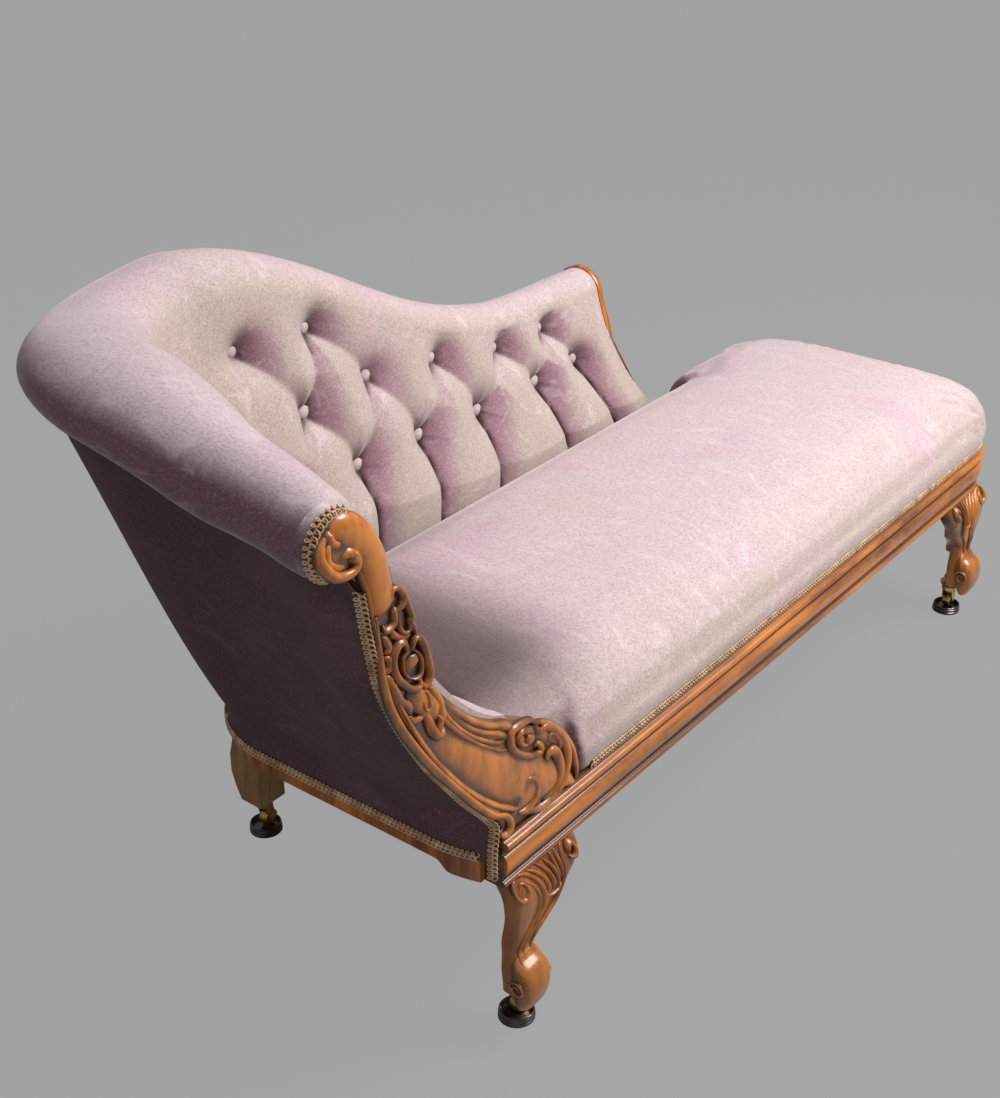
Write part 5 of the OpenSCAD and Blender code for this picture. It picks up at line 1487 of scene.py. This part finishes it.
hiddenFrame = dict(  # head and back: where the posts stand, and the top rail's two ends
    wide=0.030, top=0.86, topTall=0.07, sides=24, postRows=24, railRows=60,
    head=((0.2, 0.46, 0.72, 0.97), (0.12, 1.0)), back=((2.03, 2.33, 2.64, 2.955), (2.0, 2.955)),
)


def makeHiddenFrame(side):
    # Posts up the wall and the rail along their tops, under the padding
    sides, postRows, railRows = (hiddenFrame[key] for key in ("sides", "postRows", "railRows"))
    postUs, (start, end) = hiddenFrame[side]
    posts = []
    for u in postUs:
        s = Section(u)

        def post(a, b):
            sx, sy = legRing(a, 0.3)
            p = s.wallAt(mix(0.0, hiddenFrame["top"], b), 0.62 + 0.12 * sy)
            along = Vector((s.out.y, -s.out.x, 0))
            return s.place(p) + along * (0.5 * hiddenFrame["wide"] * sx)

        posts.append(skin("post", sides, postRows, post))
    piece = joined(side + "Posts", posts)
    smoothFaces(piece, 40)
    finishPiece(piece, frameWood, "frame_wood", side + "_posts")
    us = steps(start, end, railRows)

    def rail(a, b):
        s = Section(us[round(b * railRows)])
        sx, sy = legRing(a, 0.3)
        t = hiddenFrame["top"] + 0.5 * hiddenFrame["topTall"] * sy
        return s.place(s.wallAt(t, 0.45 + 0.12 * sx))

    piece = skin(side + "TopRail", sides, railRows, rail)
    smoothFaces(piece, 40)
    finishPiece(piece, frameWood, "frame_wood", side + "_top_rail")


makeSlip()
makeHiddenFrame("head")
makeHiddenFrame("back")
print("slip and back frame made")


# Covered buttons

button = dict(radius=0.0122, high=0.0056, proud=0.0065, dent=0.35)


def buttonSpot(x, z):
    # Halves its way up the wall to the button's height, then sinks it into the dimple
    u = 2 + (x - cornerX) / backSpan
    s = Section(u)
    low, high = 0.0, 1.0
    for _ in range(22):
        t = (low + high) / 2
        if s.wallAt(t, 0).y < z:
            low = t
        else:
            high = t
    depth, _ = tuftAt(x, z, 1.0)
    p = s.wallAt(t, 0)
    slope = s.wallAt(min(t + 0.03, 1), 0) - s.wallAt(t - 0.03, 0)
    lean = atan2(slope.x, slope.y)
    return s.place(p + Vector((depth - button["proud"], 0))), lean


def makeButtons():
    made = []
    for x, z in buttonPlaces:
        spot, lean = buttonSpot(x, z)
        deselect()
        bpy.ops.mesh.primitive_uv_sphere_add(segments=28, ring_count=16, radius=1)
        one = bpy.context.object
        for v in one.data.vertices:
            r = hypot(v.co.x, v.co.y)
            dome = v.co.z * (1 - button["dent"] * exp(-((r - 0.8) / 0.1) ** 2))
            v.co = Vector((v.co.x * button["radius"], v.co.y * button["radius"],
                           dome * button["high"]))
        one.rotation_euler = (pi / 2 + lean, 0, 0)
        one.location = spot
        pick(one)
        bpy.ops.object.transform_apply(location=True, rotation=True, scale=True)
        made.append(one)
    piece = joined("velvetButtons", made)
    paint(piece, "fold", [0.0] * len(piece.data.vertices))
    smoothFaces(piece)
    finishPiece(piece, litButtonVelvet, "velvet", "back_buttons")


makeButtons()
print("buttons made")


# Looped braid along the seams

braid = dict(
    wide=0.0115, pitch=0.0068, loop=0.0034, strand=0.00105, lift=0.0014, perLoop=9, band=0.0010,
    apart=0.0027, wave=0.0006, clear=0.003, offCover=0.0009, fromFront=0.006,
    facingTilt=(0, -0.7, 0), bandWide=0.72, bandSink=0.0003, bandStep=6, tail=tenths(
        -60, 3450, -100, 3100, -100, 2700),
)


def evenly(points, step):
    # The same line with its points at even steps, as (point, direction, normal)
    out, carry = [], 0.0
    for (p, n), (q, m) in zip(points, points[1:]):
        gap = (q - p).length
        if gap < 1e-7:
            continue
        at = carry
        while at < gap:
            share = at / gap
            out.append((p.lerp(q, share), (q - p).normalized(), n.lerp(m, share).normalized()))
            at += step
        carry = at - gap
    return out


def braidLine(points):  # two looped strands over a flat band
    step = braid["pitch"] / braid["perLoop"]
    line = evenly(points, step)
    last = len(line) - 1
    parts = []
    for side, phase in ((1, 0.0), (-1, pi)):
        path = []
        for i, (p, along, normal) in enumerate(line):
            across = normal.cross(along)
            turn = 2 * pi * i / braid["perLoop"] + phase
            path.append(p + across * (side * braid["apart"] + braid["loop"] * cos(turn))
                        + along * braid["loop"] * 0.9 * sin(turn)
                        + normal * (braid["lift"] + braid["wave"] * cos(turn + side)))

        def place(a, b):
            i = round(b * last)
            d = slopeAt(path, i).normalized()
            n = line[i][2]
            w = d.cross(n)
            angle = 2 * pi * a
            return path[i] + (w * cos(angle) + n * sin(angle)) * braid["strand"], 1.0

        parts.append(skin("braidStrand", 5, last, place, ("relief",)))
    short = line[::braid["bandStep"]]

    # The band is painted dark, as the shade in the gaps between the loops
    def band(a, b):
        p, along, normal = short[round(b * (len(short) - 1))]
        across = normal.cross(along)
        i = round(a * 4) % 4
        w = (-0.5, 0.5, 0.5, -0.5)[i] * braid["wide"] * braid["bandWide"]
        h = (0, 0, 1, 1)[i] * braid["band"] - braid["bandSink"]
        return p + across * w + normal * h, 0.0

    parts.append(skin("braidBand", 4, len(short) - 1, band, ("relief",)))
    return parts


def facingBraid(x, z, n, off=0.0):  # a point off the facing's edge, tilted to the front
    tilted = (n + Vector(braid["facingTilt"])).normalized()
    return toFrame(x, braid["fromFront"], z) + n * (off + braid["clear"]), tilted


def braidPaths():
    # Round the foot under the seat, along the head's rail, up the facing and round its scroll
    z = couch["railHigh"] + 0.5 * braid["wide"]
    setIn = seat["inset"] - wall["softGap"] - braid["clear"]
    notch = notchEnd(wall["softGap"]) + 2 * seat["inset"]
    under = [(toFrame(x - outX * setIn, y - outY * setIn, z), Vector((outX, outY, 0)))
             for x, y, outX, outY in railPath() if x > notch or y > 0.01]
    out = wall["coverT"] + braid["offCover"] + wall["softGap"] * 1.7 + wall["softGap"]
    low = hemHigh() + 0.5 * braid["wide"]
    head = []
    for u in steps(0, 2, 90):
        p, o = pathPoint(u), pathOut(u)
        head.append((toFrame(p.x + o.x * out, p.y + o.y * out, low), Vector((o.x, o.y, 0))))
    edge = resample(trace["outer"][3:] + trace["outerLow"][:3] + braid["tail"], 90)
    side = []
    for i, p in enumerate(edge):
        d = slopeAt(edge, i).normalized()
        side.append(facingBraid(p.x, p.y, Vector((d.y, 0, -d.x))))
    ring = [facingBraid(*facing["scroll"], Vector((cos(a), 0, sin(a))), facing["scrollR"])
            for a in steps(radians(62), radians(272), 60)]
    return under, head, side, ring


def makeBraidPieces():
    parts = []
    for path in braidPaths():
        parts += braidLine(path)
    piece = joined("gimpBraid", parts)
    smoothFaces(piece)
    finishPiece(piece, braidCloth, "braid", "gimp_braid")


makeBraidPieces()
print("braid made")


# Dust cover, stretched under the frame and set in from its edges

dust = dict(low=0.2468, thick=0.0009, headIn=0.040, edge=0.012, tuck=0.0012, columns=90, rows=34)


def makeDustCover():
    left, right = dust["headIn"] - couch["headOut"], couch["length"] - dust["edge"]
    near, far = dust["edge"], couch["depth"] - dust["edge"]
    columns, around = dust["columns"], 2 * (dust["columns"] + 1)

    def reach(y):  # how far the cover goes at the rounded foot end
        end = right
        for r, gone in ((couch["footFrontR"], y - near), (couch["footBackR"], far - y)):
            if gone < r:
                end = min(end, right - r + sqrt(max(0, r * r - (r - gone) ** 2)))
        return end

    def place(a, b):
        i = round(a * around) % around
        share = i / columns if i <= columns else (around - 1 - i) / columns
        y = mix(near, far, b)
        gone = clamp((y - cornerY) / (far - cornerY))
        start = mix(cornerX, left, sqrt(1 - gone * gone))
        x = mix(start, reach(y), share)
        pull = dust["tuck"] * noise.noise(Vector((x * 14, y * 14, 0)))
        rim = easeIn(min(share, 1 - share) * 12) * easeIn(min(b, 1 - b) * 8)
        z = dust["low"] + (0 if i > columns else dust["thick"]) + min(0, pull) * rim
        return toFrame(x, y, z)

    piece = skin("dustCover", around, dust["rows"], place)
    smoothFaces(piece, 40)
    finishPiece(piece, dustCloth, "dust_cloth", "dust_cover")


makeDustCover()
print("dust cover made")


# Materials on the CAD's own pieces

def dressNodes():
    slots = {row["node"]: row["material_slot"] for row in frame["record"]["subparts"]}
    for name, o in nodes.items():
        o.data.materials.clear()
        o.data.materials.append(finishOfSlot[slots[name]])


dressNodes()
print("nodes dressed")


# Floor, backdrop and light

studio = dict(
    grey=rgb("A5A5A5"), even=0.94, skyPower=0.34, floorSize=40,
    lamps=[("key", (1.0, -1.6, 2.6), (0.1, 0.1, 0.4), 1.7, 125),  # spot, aim, size and power
           ("fill", (-2.6, -2.2, 1.9), (0, 0, 0.4), 2.0, 7)],
)


def makeStudio():
    deselect()
    bpy.ops.mesh.primitive_plane_add(size=studio["floorSize"], location=(0, 0, 0))
    floor = bpy.context.object
    floor.name = "floor"
    grey = (*studio["grey"], 1)
    f = Finish("floor")
    grain = f.noise(f.coords(), scale=30, detail=3)
    colour = f.layers(studio["grey"], (grain, 0.4, 0.6, 0.03, (0.3, 0.3, 0.3)))
    plain = f.node("ShaderNodeBsdfDiffuse", {}, {"Color": colour})
    even = f.node("ShaderNodeEmission", {}, {"Color": grey, "Strength": 1.0})
    rays = f.node("ShaderNodeLightPath", output="Is Camera Ray")
    shown = f.node("ShaderNodeMixShader", {}, {0: rays * studio["even"], 1: plain, 2: even})
    f.node("ShaderNodeOutputMaterial", {}, {"Surface": shown})
    floor.data.materials.append(f.material)

    w = Finish("studio", "worlds")
    scene.world = w.material
    seen = w.node("ShaderNodeLightPath", output="Is Camera Ray")
    for ray in ("Is Glossy Ray", "Is Transmission Ray"):
        seen = seen.atLeast(w.node("ShaderNodeLightPath", output=ray))
    sky = w.node("ShaderNodeBackground", {}, {
        "Color": (1, 1, 1, 1), "Strength": studio["skyPower"]})
    back = w.node("ShaderNodeBackground", {}, {"Color": grey, "Strength": 1})
    shown = w.node("ShaderNodeMixShader", {}, {0: seen, 1: sky, 2: back})
    w.node("ShaderNodeOutputWorld", {}, {"Surface": shown})
    for lamp in studio["lamps"]:
        addLamp(*lamp)


def addLamp(name, spot, aim, size, power):
    deselect()
    bpy.ops.object.light_add(type="AREA", location=spot)
    lamp = bpy.context.object
    lamp.name = name
    lamp.data.shape = "DISK"
    lamp.data.size = size
    lamp.data.energy = power
    lamp.rotation_euler = (Vector(aim) - Vector(spot)).to_track_quat("-Z", "Y").to_euler()


makeStudio()
print("studio set")
